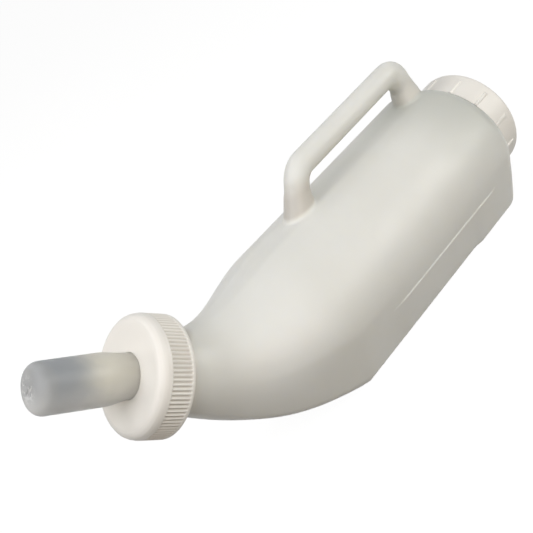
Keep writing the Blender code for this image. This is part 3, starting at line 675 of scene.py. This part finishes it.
def handle_rings(inset):
    """Rings from the rear root over the grip to the front root."""
    rear_corner = Vector((HANDLE_REAR_X, 0, GRIP_HEIGHT + GRIP_TILT))
    front_corner = Vector((HANDLE_FRONT_X, 0, GRIP_HEIGHT - GRIP_TILT))
    rear_root = leg_root(rear_corner, REAR_LEG_LEAN)
    front_root = leg_root(front_corner, FRONT_LEG_LEAN)
    pairs = leg_pairs(rear_root, rear_corner, front_corner, inset)
    pairs += corner_pairs(rear_root, rear_corner, front_corner, inset)
    front = corner_pairs(rear_corner, front_corner, front_root, inset)
    steps = steps_for((front[0][0] - pairs[-1][0]).length, HANDLE_STEP)
    pairs += between(pairs[-1], front[0], steps) + front
    pairs += reversed(leg_pairs(front_root, front_corner, rear_corner, inset))
    rings = []
    for outer, inner in pairs:
        centre = (outer + inner) / 2
        root = 1.0 - smooth_step((centre.z - BODY_HEIGHT) / ROOT_FLARE_HEIGHT)
        side = Vector((0, blend(GRIP_RADIUS, ROOT_WIDTH, root) - inset, 0))
        reach = (outer - inner) / 2
        rings.append([centre + reach * math.cos(t) + side * math.sin(t) for t in even_turns(HANDLE_SIDES)])
    return rings


def landed_rings(rings, tree, outside):
    """Rings of one leg from its root up, with its foot flowing into the skin through a fillet.

    Every line along the leg gives way, where it leaves the skin, to a curve that runs out along the skin
    and dips under it. The fillet is smaller on the leg's outside, which faces +X at 1 and -X at -1."""
    lines = list(zip(*rings))
    centre = sum(rings[0], Vector()) / len(rings[0])
    curves, starts = [], []
    for line in lines:
        k = next(k for k in range(len(line)) if above(line[k + 1], tree))
        low, high = line[k], line[k + 1]
        for _ in range(BISECTIONS):
            middle = low.lerp(high, 0.5)
            low, high = (low, middle) if above(middle, tree) else (middle, high)
        rise = (line[k + 1] - line[k]).normalized()
        _, normal, _, _ = tree.find_nearest(high)
        outward = square_to(square_to(high - centre, rise), normal)
        fillet = blend(ROOT_FILLET, OUTER_FILLET, smooth_step(outward.x * outside))
        place, normal, _, _ = tree.find_nearest(high + outward * fillet)
        end = place + normal * LANDING
        start = high + rise * fillet
        under = place + outward * LANDING_DIP - normal * LANDING_DIP
        starts.append(start)
        curves.append([under] + [eased(start, high, end, t) for t in spread(1.0, 0.0, FILLET_STEPS)])
    clear = next(k for k in range(len(rings) - 1)
                 if all((line[k] - start).dot(line[k + 1] - line[k]) > 0
                        for line, start in zip(lines, starts)))
    return list(zip(*curves)) + rings[clear:]


def above(point, tree):
    place, normal, _, _ = tree.find_nearest(point)
    return (point - place).dot(normal) > 0


# Meshes
def add_grid(build, rings, closed=False):
    """Rings of equal point counts, joined by quads. closed joins the last ring to the first."""
    loops = [[build.verts.new(point) for point in ring] for ring in rings]
    pairs = list(zip(loops, loops[1:]))
    if closed:
        pairs.append((loops[-1], loops[0]))
    for near, far in pairs:
        for i in range(len(near)):
            j = (i + 1) % len(near)
            build.faces.new((near[i], near[j], far[j], far[i]))
    return loops


def add_fan(build, loop, centre):
    """Closes a ring of vertices with triangles to a point."""
    hub = build.verts.new(centre)
    for i in range(len(loop)):
        build.faces.new((loop[i - 1], loop[i], hub))


def placed(name, data):
    item = bpy.data.objects.new(name, data)
    bpy.context.scene.collection.objects.link(item)
    return item


def made(name, build):
    """Object of a bmesh, smooth but for its sharp edges."""
    bmesh.ops.recalc_face_normals(build, faces=build.faces)
    mesh = bpy.data.meshes.new(name)
    build.to_mesh(mesh)
    build.free()
    item = placed(name, mesh)
    smooth(item)
    return item


def smooth(item):
    item.data.shade_smooth()
    item.data.set_sharp_from_angle(angle=SHARP_ANGLE)


def combine(target, other, operation):
    """Boolean of two meshes, applied. Slivers that it leaves are merged away."""
    step = target.modifiers.new(operation, "BOOLEAN")
    step.operation = operation
    step.solver = "EXACT"
    step.object = other
    graph = bpy.context.evaluated_depsgraph_get()
    graph.update()
    mesh = bpy.data.meshes.new_from_object(target.evaluated_get(graph))
    target.modifiers.clear()
    target.data = mesh
    bpy.data.objects.remove(other)
    build = bmesh.new()
    build.from_mesh(mesh)
    bmesh.ops.remove_doubles(build, verts=build.verts, dist=MERGE)
    bmesh.ops.dissolve_degenerate(build, dist=MERGE / 2, edges=build.edges)
    build.to_mesh(mesh)
    build.free()
    smooth(target)


def tube(name, rings):
    """Closed tube through rings, each end closed to its middle."""
    build = bmesh.new()
    loops = add_grid(build, rings)
    for loop in (loops[0], loops[-1]):
        add_fan(build, loop, sum((v.co for v in loop), Vector()) / len(loop))
    return made(name, build)


# Bottle
def skin_tree(rings):
    """Search tree of the outer skin, with its normals outward."""
    build = bmesh.new()
    loops = add_grid(build, rings)
    build.faces.new(loops[0])
    build.faces.new(loops[-1])
    bmesh.ops.recalc_face_normals(build, faces=build.faces)
    tree = BVHTree.FromBMesh(build)
    build.free()
    return tree


def make_bottle():
    outer = rear_rings(0.0, FILL_NECK_RADIUS, True) + body_rings(0.0)
    outer += bend_rings(0.0, BEND_STEPS) + neck_rings(NECK_RADIUS, True)
    inner = rear_rings(WALL, FILL_NECK_BORE, False) + body_rings(WALL)
    inner += bend_rings(WALL, BEND_STEPS // 2) + neck_rings(NECK_BORE, False)
    front_lip = rim_rings(teat_neck_ring, NECK_RADIUS, NECK_BORE, 0.0)
    rear_lip = rim_rings(fill_neck_ring, FILL_NECK_RADIUS, FILL_NECK_BORE, FILL_NECK_LENGTH)
    build = bmesh.new()
    add_grid(build, outer + front_lip + inner[::-1] + rear_lip[::-1], closed=True)
    bottle = made("bottle_skin", build)
    tree = skin_tree(outer)
    rings = handle_rings(0.0)
    middle = len(rings) // 2
    rear = landed_rings(rings[:middle + 1], tree, -1)
    front = landed_rings(rings[middle:][::-1], tree, 1)
    grip = rear + front[::-1][1:]
    combine(bottle, tube("handle", grip), "UNION")
    combine(bottle, tube("handle_bore", handle_rings(WALL)), "DIFFERENCE")
    return bottle


# Pieces turned about an axis
def framed(columns, origin):
    """Matrix with the given directions of its local axes and the given origin."""
    return Matrix.Translation(origin) @ Matrix([list(c) for c in columns]).transposed().to_4x4()


def neck_frame(along):
    """Places a local +Z up the neck axis and local +X down towards the belly side."""
    return framed((-UPWARD, SIDE, AXIS), MOUTH + AXIS * along)


def rear_frame(outward):
    """Places a local +Z rearward along the fill neck's axis and local +X up."""
    return framed((UP, SIDE, UP.cross(SIDE)), Vector((BODY_REAR_X - outward, 0, HALF_HEIGHT)))


def make_turned(name, outline, angles, place, reach=None):
    """Closed outline of (radius, height) points turned about local Z through the given angles.

    reach(radius, height, angle) gives the radius at an angle where the piece isn't round."""
    rings = []
    for radius, height in outline:
        ring = []
        for angle in angles:
            r = reach(radius, height, angle) if reach else radius
            ring.append(place @ Vector((r * math.cos(angle), r * math.sin(angle), height)))
        rings.append(ring)
    build = bmesh.new()
    add_grid(build, rings, closed=True)
    return made(name, build)


def threaded_bore(radius, height, angle, back, inner_top):
    """Radius of a bore whose thread runs in the groove of the neck's, half a pitch off it."""
    ridge = thread(angle, back + height, back + LEAD_IN, back + inner_top - LEAD_IN, THREAD_PITCH / 2)
    return radius - THREAD_HEIGHT * ridge


def make_teat_ring():
    back = RING_FRONT - RING_DEPTH
    edge_radius = RING_RADIUS - RING_DRAFT
    inner_top = RING_DEPTH - RING_PLATE
    rib_top = RING_DEPTH - RING_EDGE - RING_BAND
    outline = rounded([
        (RING_RADIUS, 0.0, SKIRT_CHAMFER),
        (RING_RADIUS, rib_top, 0.0),
        (edge_radius, RING_DEPTH, RING_EDGE),
        (edge_radius - RING_EDGE - RING_LIP, RING_DEPTH, FACE_ROUND),
        (RING_HOLE, RING_DEPTH - RING_DISH, HOLE_EDGE),
        (RING_HOLE, inner_top, HOLE_EDGE),
        (RING_BORE, inner_top, SKIRT_CHAMFER),
        (RING_BORE, LEAD_IN * 2, 0.0),
        (RING_BORE + LEAD_IN, 0.0, LIP_ROUND),
    ], step=THREAD_STEP * 2)

    def reach(radius, height, angle):
        if radius > RING_BORE + RING_WALL / 2:
            ends = min(height - RING_RIM, rib_top - height)
            groove = (1 - math.cos(RING_RIBS * angle)) / 2
            return radius - RIB_HEIGHT * groove * smooth_step(ends / RIB_RUNOUT)
        if radius > RING_BORE - SEAT_GAP:
            return threaded_bore(radius, height, angle, back, inner_top)
        return radius

    angles = even_turns(RING_RIBS * RING_RIB_SIDES)
    return make_turned("teat_ring_skin", outline, angles, neck_frame(back), reach)


def make_fill_cap():
    inner_top = CAP_DEPTH - CAP_PLATE
    rib_top = CAP_DEPTH - CAP_EDGE - CAP_BAND
    dish = CAP_RADIUS - CAP_DISH_INSET
    outline = rounded([
        (CAP_RADIUS, 0.0, SKIRT_CHAMFER),
        (CAP_RADIUS, rib_top, 0.0),
        (CAP_RADIUS, CAP_DEPTH, CAP_EDGE),
        (dish, CAP_DEPTH, LIP_ROUND),
        (dish - CAP_DISH, CAP_DEPTH - CAP_DISH, LIP_ROUND),
        (AXIS_HOLE, CAP_DEPTH - CAP_DISH, 0.0),
        (AXIS_HOLE, inner_top, 0.0),
        (CAP_BORE, inner_top, SKIRT_CHAMFER),
        (CAP_BORE, LEAD_IN * 2, 0.0),
        (CAP_BORE + LEAD_IN, 0.0, LIP_ROUND),
    ], step=THREAD_STEP * 2)
    half_crest = CAP_RIB_CREST / 2
    flank = (CAP_RIB_FOOT - CAP_RIB_CREST) / 2
    pitch = 2 * math.pi / CAP_RIBS

    def reach(radius, height, angle):
        if radius > CAP_BORE + CAP_WALL / 2:
            away = abs(((angle - CAP_TURN) / pitch + 0.5) % 1.0 - 0.5) * pitch * CAP_RADIUS
            rib = 1.0 - smooth_step((away - half_crest) / flank)
            fade = smooth_step((rib_top + CAP_RIB_RUNOUT - height) / CAP_RIB_RUNOUT)
            return radius + CAP_RIB_HEIGHT * rib * fade
        if radius > CAP_BORE - SEAT_GAP:
            return threaded_bore(radius, height, angle, CAP_BACK_GAP, inner_top)
        return radius

    half_foot = CAP_RIB_FOOT / 2 / CAP_RADIUS
    turns = spread(-half_foot, half_foot, CAP_RIB_SIDES)
    turns += spread(half_foot, pitch - half_foot, CAP_PITCH_SIDES)[1:-1]
    angles = [CAP_TURN + pitch * k + turn for k in range(CAP_RIBS) for turn in turns]
    return make_turned("fill_cap_skin", outline, angles, rear_frame(CAP_BACK_GAP), reach)


def make_seal():
    outer = CAP_BORE - SEAT_GAP - THREAD_HEIGHT
    inner = CAP_BORE - SEAT_GAP - SEAL_WIDTH
    corners = ((outer, 0.0), (outer, SEAL_THICKNESS), (inner, SEAL_THICKNESS), (inner, 0.0))
    outline = rounded([(*corner, SEAL_ROUND) for corner in corners])
    place = rear_frame(FILL_NECK_LENGTH + SEAT_GAP)
    return make_turned("fill_cap_seal_skin", outline, even_turns(SEAL_SIDES), place)


# Teat
def teat_radius(along):
    """Outer radius of the barrel, measured from the ring's front face to the nose."""
    if along < TEAT_SWELL_AT:
        return blend(TEAT_ROOT_RADIUS, TEAT_SWELL_RADIUS, smooth_step(along / TEAT_SWELL_AT))
    share = (along - TEAT_SWELL_AT) / (TEAT_LENGTH - TEAT_NOSE - TEAT_SWELL_AT)
    return blend(TEAT_SWELL_RADIUS, TEAT_TIP_RADIUS, share)


def dome(radius, nose, top):
    """Rounded end of a barrel, from the axis down to the barrel."""
    flat = radius - nose
    points = [(flat * t, top) for t in spread(0.0, 1.0, CORNER_STEPS)[1:-1]]
    for turn in quarter_turn(NOSE_STEPS):
        points.append((flat + nose * math.sin(turn), top - nose * (1 - math.cos(turn))))
    return points


def teat_profile():
    """Nose to flange down the outside, then back up the bore."""
    barrel = TEAT_LENGTH - TEAT_NOSE
    steps = steps_for(barrel, TEAT_STEP)
    points = dome(TEAT_TIP_RADIUS, TEAT_NOSE, TEAT_TOP)
    points += [(teat_radius(t), TEAT_START + t) for t in spread(barrel, 0.0, steps)[1:]]
    edge = TEAT_ROOT_FILLET
    for turn in quarter_turn(ROUND_STEPS):
        points.append((TEAT_ROOT_RADIUS + HOLE_EDGE * (1 - math.cos(turn)),
                       FLANGE_THICKNESS + edge - edge * math.sin(turn)))
    rim = FLANGE_RADIUS - SEAL_ROUND
    points += [(rim, FLANGE_THICKNESS), (FLANGE_RADIUS, FLANGE_THICKNESS - SEAL_ROUND),
               (FLANGE_RADIUS, SEAL_ROUND), (rim, 0.0)]
    bore = TEAT_ROOT_RADIUS - TEAT_WALL
    for turn in quarter_turn(ROUND_STEPS):
        points.append((bore + edge * (1 - math.sin(turn)), edge * (1 - math.cos(turn))))
    inner = dome(TEAT_TIP_RADIUS - TEAT_WALL, TEAT_NOSE - TEAT_WALL, TEAT_TOP - TEAT_NOSE_WALL)
    points += [(teat_radius(t) - TEAT_WALL, TEAT_START + t) for t in spread(0.0, barrel - TEAT_WALL, steps)]
    return points + inner[::-1]


def droop(point):
    """Bends a point of the upright teat towards local +X past the ring's front face."""
    start = RING_FRONT - TEAT_DROOP_LEAD
    along = point.z - start
    if along <= 0:
        return point
    radius = TEAT_DROOP_RUN / TEAT_DROOP
    turn = TEAT_DROOP * min(along / TEAT_DROOP_RUN, 1.0)
    rest = max(along - TEAT_DROOP_RUN, 0.0)
    centre_x = radius * (1 - math.cos(turn)) + rest * math.sin(turn)
    centre_z = start + radius * math.sin(turn) + rest * math.cos(turn)
    return Vector((centre_x + point.x * math.cos(turn), point.y, centre_z - point.x * math.sin(turn)))


def make_teat():
    place = neck_frame(SEAT_GAP)
    rings = []
    for radius, height in teat_profile():
        rings.append([place @ droop(Vector((radius * math.cos(t), radius * math.sin(t), height)))
                      for t in even_turns(TEAT_SIDES)])
    build = bmesh.new()
    loops = add_grid(build, rings)
    tip = droop(Vector((0, 0, TEAT_TOP)))
    add_fan(build, loops[0], place @ tip)
    add_fan(build, loops[-1], place @ droop(Vector((0, 0, TEAT_TOP - TEAT_NOSE_WALL))))
    teat = made("teat_skin", build)
    for cross in (0.0, math.pi / 2):
        slit = bmesh.new()
        bmesh.ops.create_cube(slit, size=1)
        turn = Matrix.Rotation(TEAT_DROOP, 4, "Y") @ Matrix.Rotation(SLIT_TURN + cross, 4, "Z")
        size = Matrix.Diagonal((SLIT_LENGTH, SLIT_WIDTH, SLIT_DEPTH, 1))
        slit.transform(place @ Matrix.Translation(tip) @ turn @ size)
        combine(teat, made("slit", slit), "DIFFERENCE")
    return teat


# Materials
def add_node(tree, kind, inputs=(), **settings):
    """Adds a node to a tree. inputs holds a value or an output for each socket."""
    added = tree.nodes.new(kind)
    for key, value in settings.items():
        setattr(added, key, value)
    for socket, value in dict(inputs).items():
        if isinstance(value, bpy.types.NodeSocket):
            tree.links.new(value, added.inputs[socket])
        else:
            added.inputs[socket].default_value = value
    return added


class Paint:
    """Builds a node material around one Principled shader."""

    def __init__(self, name, **sockets):
        self.material = bpy.data.materials.new(name)
        self.material.use_nodes = True
        self.tree = self.material.node_tree
        self.shader = self.tree.nodes["Principled BSDF"]
        for socket, value in sockets.items():
            self.shader.inputs[socket.replace("_", " ")].default_value = value
        self.place = self.node("ShaderNodeTexCoord").outputs["Object"]

    def node(self, kind, inputs=(), **settings):
        return add_node(self.tree, kind, inputs, **settings)

    def math(self, operation, first, second=0.0):
        return self.node("ShaderNodeMath", {0: first, 1: second}, operation=operation).outputs[0]

    def vector(self, operation, first, second=(0.0, 0.0, 0.0)):
        return self.node("ShaderNodeVectorMath", {0: first, 1: tuple(second)}, operation=operation)

    def noise(self, scale, detail):
        inputs = {"Vector": self.place, "Scale": scale, "Detail": detail}
        return self.node("ShaderNodeTexNoise", inputs).outputs["Fac"]

    def span(self, value, start, end, low=0.0, high=1.0):
        """Value mapped smoothly from start..end to low..high, held beyond both."""
        inputs = {"Value": value, "From Min": start, "From Max": end, "To Min": low, "To Max": high}
        return self.node("ShaderNodeMapRange", inputs, interpolation_type="SMOOTHSTEP").outputs["Result"]

    def patches(self, scale, detail, *levels):
        """Noise, read between two of its levels."""
        return self.span(self.noise(scale, detail), *levels)

    def product(self, first, second):
        return self.math("MULTIPLY", first, second)

    def band(self, value, low, high):
        """1 between two changes, each given by its start and end, and 0 beyond them."""
        return self.product(self.span(value, *low), self.span(value, *high))

    def mix(self, share, first, second):
        inputs = {"Factor": share, 6: first, 7: second}
        return self.node("ShaderNodeMix", inputs, data_type="RGBA").outputs[2]

    def axis(self, name):
        return self.node("ShaderNodeSeparateXYZ", {0: self.place}).outputs[name]

    def along(self, direction, origin):
        """Distance along a direction from an origin, in metres."""
        moved = self.vector("SUBTRACT", self.place, origin).outputs[0]
        return self.vector("DOT_PRODUCT", moved, direction).outputs["Value"]

    def grain(self, scale, detail, depth):
        """Layer of relief made of noise."""
        return self.noise(scale, detail), depth

    def finished(self, colour, gloss, *layers):
        """The material, with its relief of (height output, depth in metres) layers laid on one another."""
        self.tree.links.new(colour, self.shader.inputs["Base Color"])
        self.tree.links.new(self.patches(*gloss), self.shader.inputs["Roughness"])
        normal = None
        for height, depth in layers:
            inputs = {"Height": height, "Distance": depth}
            if normal is not None:
                inputs["Normal"] = normal
            normal = self.node("ShaderNodeBump", inputs).outputs["Normal"]
        self.tree.links.new(normal, self.shader.inputs["Normal"])
        return self.material


def bottle_plastic():
    """Milky blow-moulded polyethylene: satin, faintly clouded, with soft waves and a parting line.

    Shade is painted on it: darker at the upper rear, and round the handle's legs where the handle's shadow
    falls."""
    paint = Paint("milky_polyethylene", IOR=1.52, Subsurface_Weight=0.45, Subsurface_Scale=0.006,
                  Subsurface_Radius=(1.0, 0.92, 0.75))
    ahead = paint.axis("X")
    height = paint.axis("Z")
    # painted shade: the body is darkened towards its upper rear
    rearward = paint.product(paint.span(ahead, *REAR_SHADE_X), paint.band(height, *REAR_SHADE_Z))
    # painted shade: the body is darkened round the feet of the handle's legs, where the handle's shadow
    # falls
    leg_shade = paint.product(paint.span(ahead, *LEG_SHADE_X), paint.band(height, *LEG_SHADE_Z))
    milky = paint.mix(paint.patches(*BOTTLE_CLOUDS), BOTTLE_DEEP, BOTTLE_PALE)
    milky = paint.mix(rearward, milky, BOTTLE_REAR_SHADE)
    milky = paint.mix(leg_shade, milky, BOTTLE_LEG_SHADE)
    # the halves of the mould met on the plane of symmetry
    off_plane = paint.math("ABSOLUTE", paint.axis("Y"))
    parting_line = (paint.span(off_plane, PARTING_HALF_WIDTH, 0.0), PARTING_DEPTH)
    waves = paint.grain(*BOTTLE_WAVES)
    return paint.finished(milky, BOTTLE_GLOSS, waves, parting_line, paint.grain(*BOTTLE_GRAIN))


def cap_plastic():
    """Injection-moulded warm white plastic: finer grain and a little more gloss than the bottle.

    Shade is painted into the valleys between the teat ring's ribs."""
    paint = Paint("warm_white_plastic", IOR=1.49, Subsurface_Weight=0.05, Subsurface_Scale=0.002,
                  Subsurface_Radius=(1.0, 0.85, 0.7))
    from_mouth = paint.vector("SUBTRACT", paint.place, MOUTH).outputs[0]
    off_axis = paint.vector("CROSS_PRODUCT", from_mouth, AXIS).outputs[0]
    radius = paint.vector("LENGTH", off_axis).outputs["Value"]
    behind = paint.along(-AXIS, MOUTH + AXIS * RING_FRONT)
    # painted shade: the valleys between the ring's ribs are darkened
    on_side = paint.span(behind, RING_EDGE - VALLEY_SHADE_BLEND, RING_EDGE + VALLEY_SHADE_BLEND)
    sunk = paint.span(radius, RING_RADIUS - VALLEY_SHADE_START, RING_RADIUS - RIB_HEIGHT)
    on_ring = paint.math("LESS_THAN", radius, RING_RADIUS + VALLEY_SHADE_BLEND)
    valley = paint.product(on_ring, paint.product(on_side, sunk))
    plain = paint.mix(paint.patches(*CAP_CLOUDS), CAP_DEEP, CAP_PALE)
    ribbed = paint.mix(valley, plain, RIB_VALLEY_SHADE)
    return paint.finished(ribbed, CAP_GLOSS, paint.grain(*CAP_WAVES), paint.grain(*CAP_GRAIN))


def teat_rubber():
    """Clouded silicone: grey tip, blue-grey barrel, and cream towards the root.

    Light coming through its underside is painted there as a paler colour, and glints are painted round the
    cross-cut."""
    paint = Paint("clouded_silicone", IOR=1.41, Subsurface_Weight=0.6, Subsurface_Scale=0.008,
                  Subsurface_Radius=(1.0, 1.0, 0.95), Transmission_Weight=0.5)
    place = neck_frame(SEAT_GAP)
    tip = place @ droop(Vector((0, 0, TEAT_TOP)))
    turn = place.to_3x3() @ Matrix.Rotation(TEAT_DROOP, 4, "Y").to_3x3()
    depth = paint.along((turn @ Vector((0, 0, -1))).normalized(), tip)
    lower = paint.along((turn @ Vector((1, 0, 0))).normalized(), tip)
    off_middle = paint.math("SUBTRACT", paint.noise(*TEAT_WANDER_NOISE), 0.5)
    depth = paint.math("ADD", depth, paint.product(off_middle, TEAT_WANDER))
    from_tip = paint.vector("DISTANCE", paint.place, tip).outputs["Value"]
    glints = paint.product(paint.patches(*TEAT_GLINTS), paint.span(from_tip, *GLINT_REACH))
    barrel = paint.mix(paint.span(depth, *TEAT_TIP_DEPTH), TEAT_TIP, TEAT_BARREL)
    lengthwise = paint.mix(paint.span(depth, *TEAT_ROOT_DEPTH), barrel, TEAT_ROOT)
    # painted light: the underside is made paler, as if lit through
    lit_through = paint.mix(paint.span(lower, *TEAT_UNDERLIGHT_SIDE), lengthwise, TEAT_PAINTED_UNDERLIGHT)
    colour = paint.mix(glints, lit_through, TEAT_GLINT)
    return paint.finished(colour, TEAT_GLOSS, paint.grain(*TEAT_WAVES), paint.grain(*TEAT_GRAIN))


def seal_rubber():
    paint = Paint("seal_rubber_soft", IOR=1.5)
    clouded = paint.mix(paint.noise(*SEAL_CLOUDS), SEAL_DEEP, SEAL_PALE)
    return paint.finished(clouded, SEAL_GLOSS, paint.grain(*SEAL_GRAIN))


# Floor, light and camera
def camera_or_mirror(tree):
    """1 for rays from the camera, from gloss and through clear parts, and 0 for the rest."""
    path = add_node(tree, "ShaderNodeLightPath")
    total = path.outputs["Is Camera Ray"]
    for name in ("Is Glossy Ray", "Is Transmission Ray"):
        inputs = {0: total, 1: path.outputs[name]}
        total = add_node(tree, "ShaderNodeMath", inputs, operation="MAXIMUM").outputs[0]
    return total


def choose(tree, share, first, second):
    """Mixes two shaders of a tree: the first at a share of 0 and the second at 1."""
    inputs = {0: share, 1: first.outputs[0], 2: second.outputs[0]}
    return add_node(tree, "ShaderNodeMixShader", inputs)


def make_floor():
    """Pale floor: near white to the camera with a faint shadow, and a warm grey to what it lights."""
    build = bmesh.new()
    bmesh.ops.create_grid(build, x_segments=1, y_segments=1, size=FLOOR_SIZE / 2)
    floor = made("floor", build)
    floor.location.z = FLOOR_Z
    material = bpy.data.materials.new("pale_floor")
    material.use_nodes = True
    tree = material.node_tree
    tree.nodes.clear()
    glow = add_node(tree, "ShaderNodeEmission", {"Strength": FLOOR_GLOW})
    pale = add_node(tree, "ShaderNodeBsdfDiffuse", {"Color": FLOOR_PALE})
    bounce = add_node(tree, "ShaderNodeBsdfDiffuse", {"Color": FLOOR_BOUNCE})
    seen = choose(tree, FLOOR_SHADOW, glow, pale)
    both = choose(tree, camera_or_mirror(tree), bounce, seen)
    add_node(tree, "ShaderNodeOutputMaterial", {0: both.outputs[0]})
    floor.data.materials.append(material)


def make_world():
    world = bpy.data.worlds.new("studio")
    bpy.context.scene.world = world
    world.use_nodes = True
    tree = world.node_tree
    tree.nodes.clear()
    sky = add_node(tree, "ShaderNodeBackground", {"Color": SKY_COLOUR, "Strength": SKY_STRENGTH})
    white = add_node(tree, "ShaderNodeBackground", {"Color": WHITE})
    both = choose(tree, camera_or_mirror(tree), sky, white)
    add_node(tree, "ShaderNodeOutputWorld", {0: both.outputs[0]})


def make_lamp(name, direction, size, power, colour):
    """Round soft box, seen from the part in the given direction."""
    data = bpy.data.lights.new(name, "AREA")
    data.shape = "DISK"
    data.size = size
    data.energy = power
    data.color = colour
    towards = Vector(direction).normalized()
    lamp = placed(name, data)
    lamp.location = LIGHT_AIM + towards * LIGHT_DISTANCE
    lamp.rotation_mode = "QUATERNION"
    lamp.rotation_quaternion = towards.to_track_quat("Z", "Y")


def make_camera():
    data = bpy.data.cameras.new("camera")
    data.sensor_width = SENSOR
    data.lens = CAMERA_LENS
    data.clip_start = CLIP_START
    camera = placed("camera", data)
    level = Euler((math.pi / 2 - CAMERA_ELEVATION, 0, CAMERA_AZIMUTH)).to_matrix().to_4x4()
    camera.matrix_world = Matrix.Translation(CAMERA_PLACE) @ level @ Matrix.Rotation(CAMERA_ROLL, 4, "Z")
    bpy.context.scene.camera = camera


def dress(skin, node, material):
    """A finished skin takes the place of its CAD node and moves with that node's body."""
    skin.data.materials.clear()
    skin.data.materials.append(material)
    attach(skin, node)
    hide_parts(node)


def main():
    cap_material = cap_plastic()
    dress(make_bottle(), "bottle", bottle_plastic())
    dress(make_teat(), "teat", teat_rubber())
    dress(make_teat_ring(), "teat_ring", cap_material)
    dress(make_fill_cap(), "fill_cap", cap_material)
    dress(make_seal(), "fill_cap_seal", seal_rubber())
    make_floor()
    make_world()
    for lamp in LAMPS:
        make_lamp(*lamp)
    make_camera()
    bpy.context.scene.view_settings.view_transform = "Standard"


main()
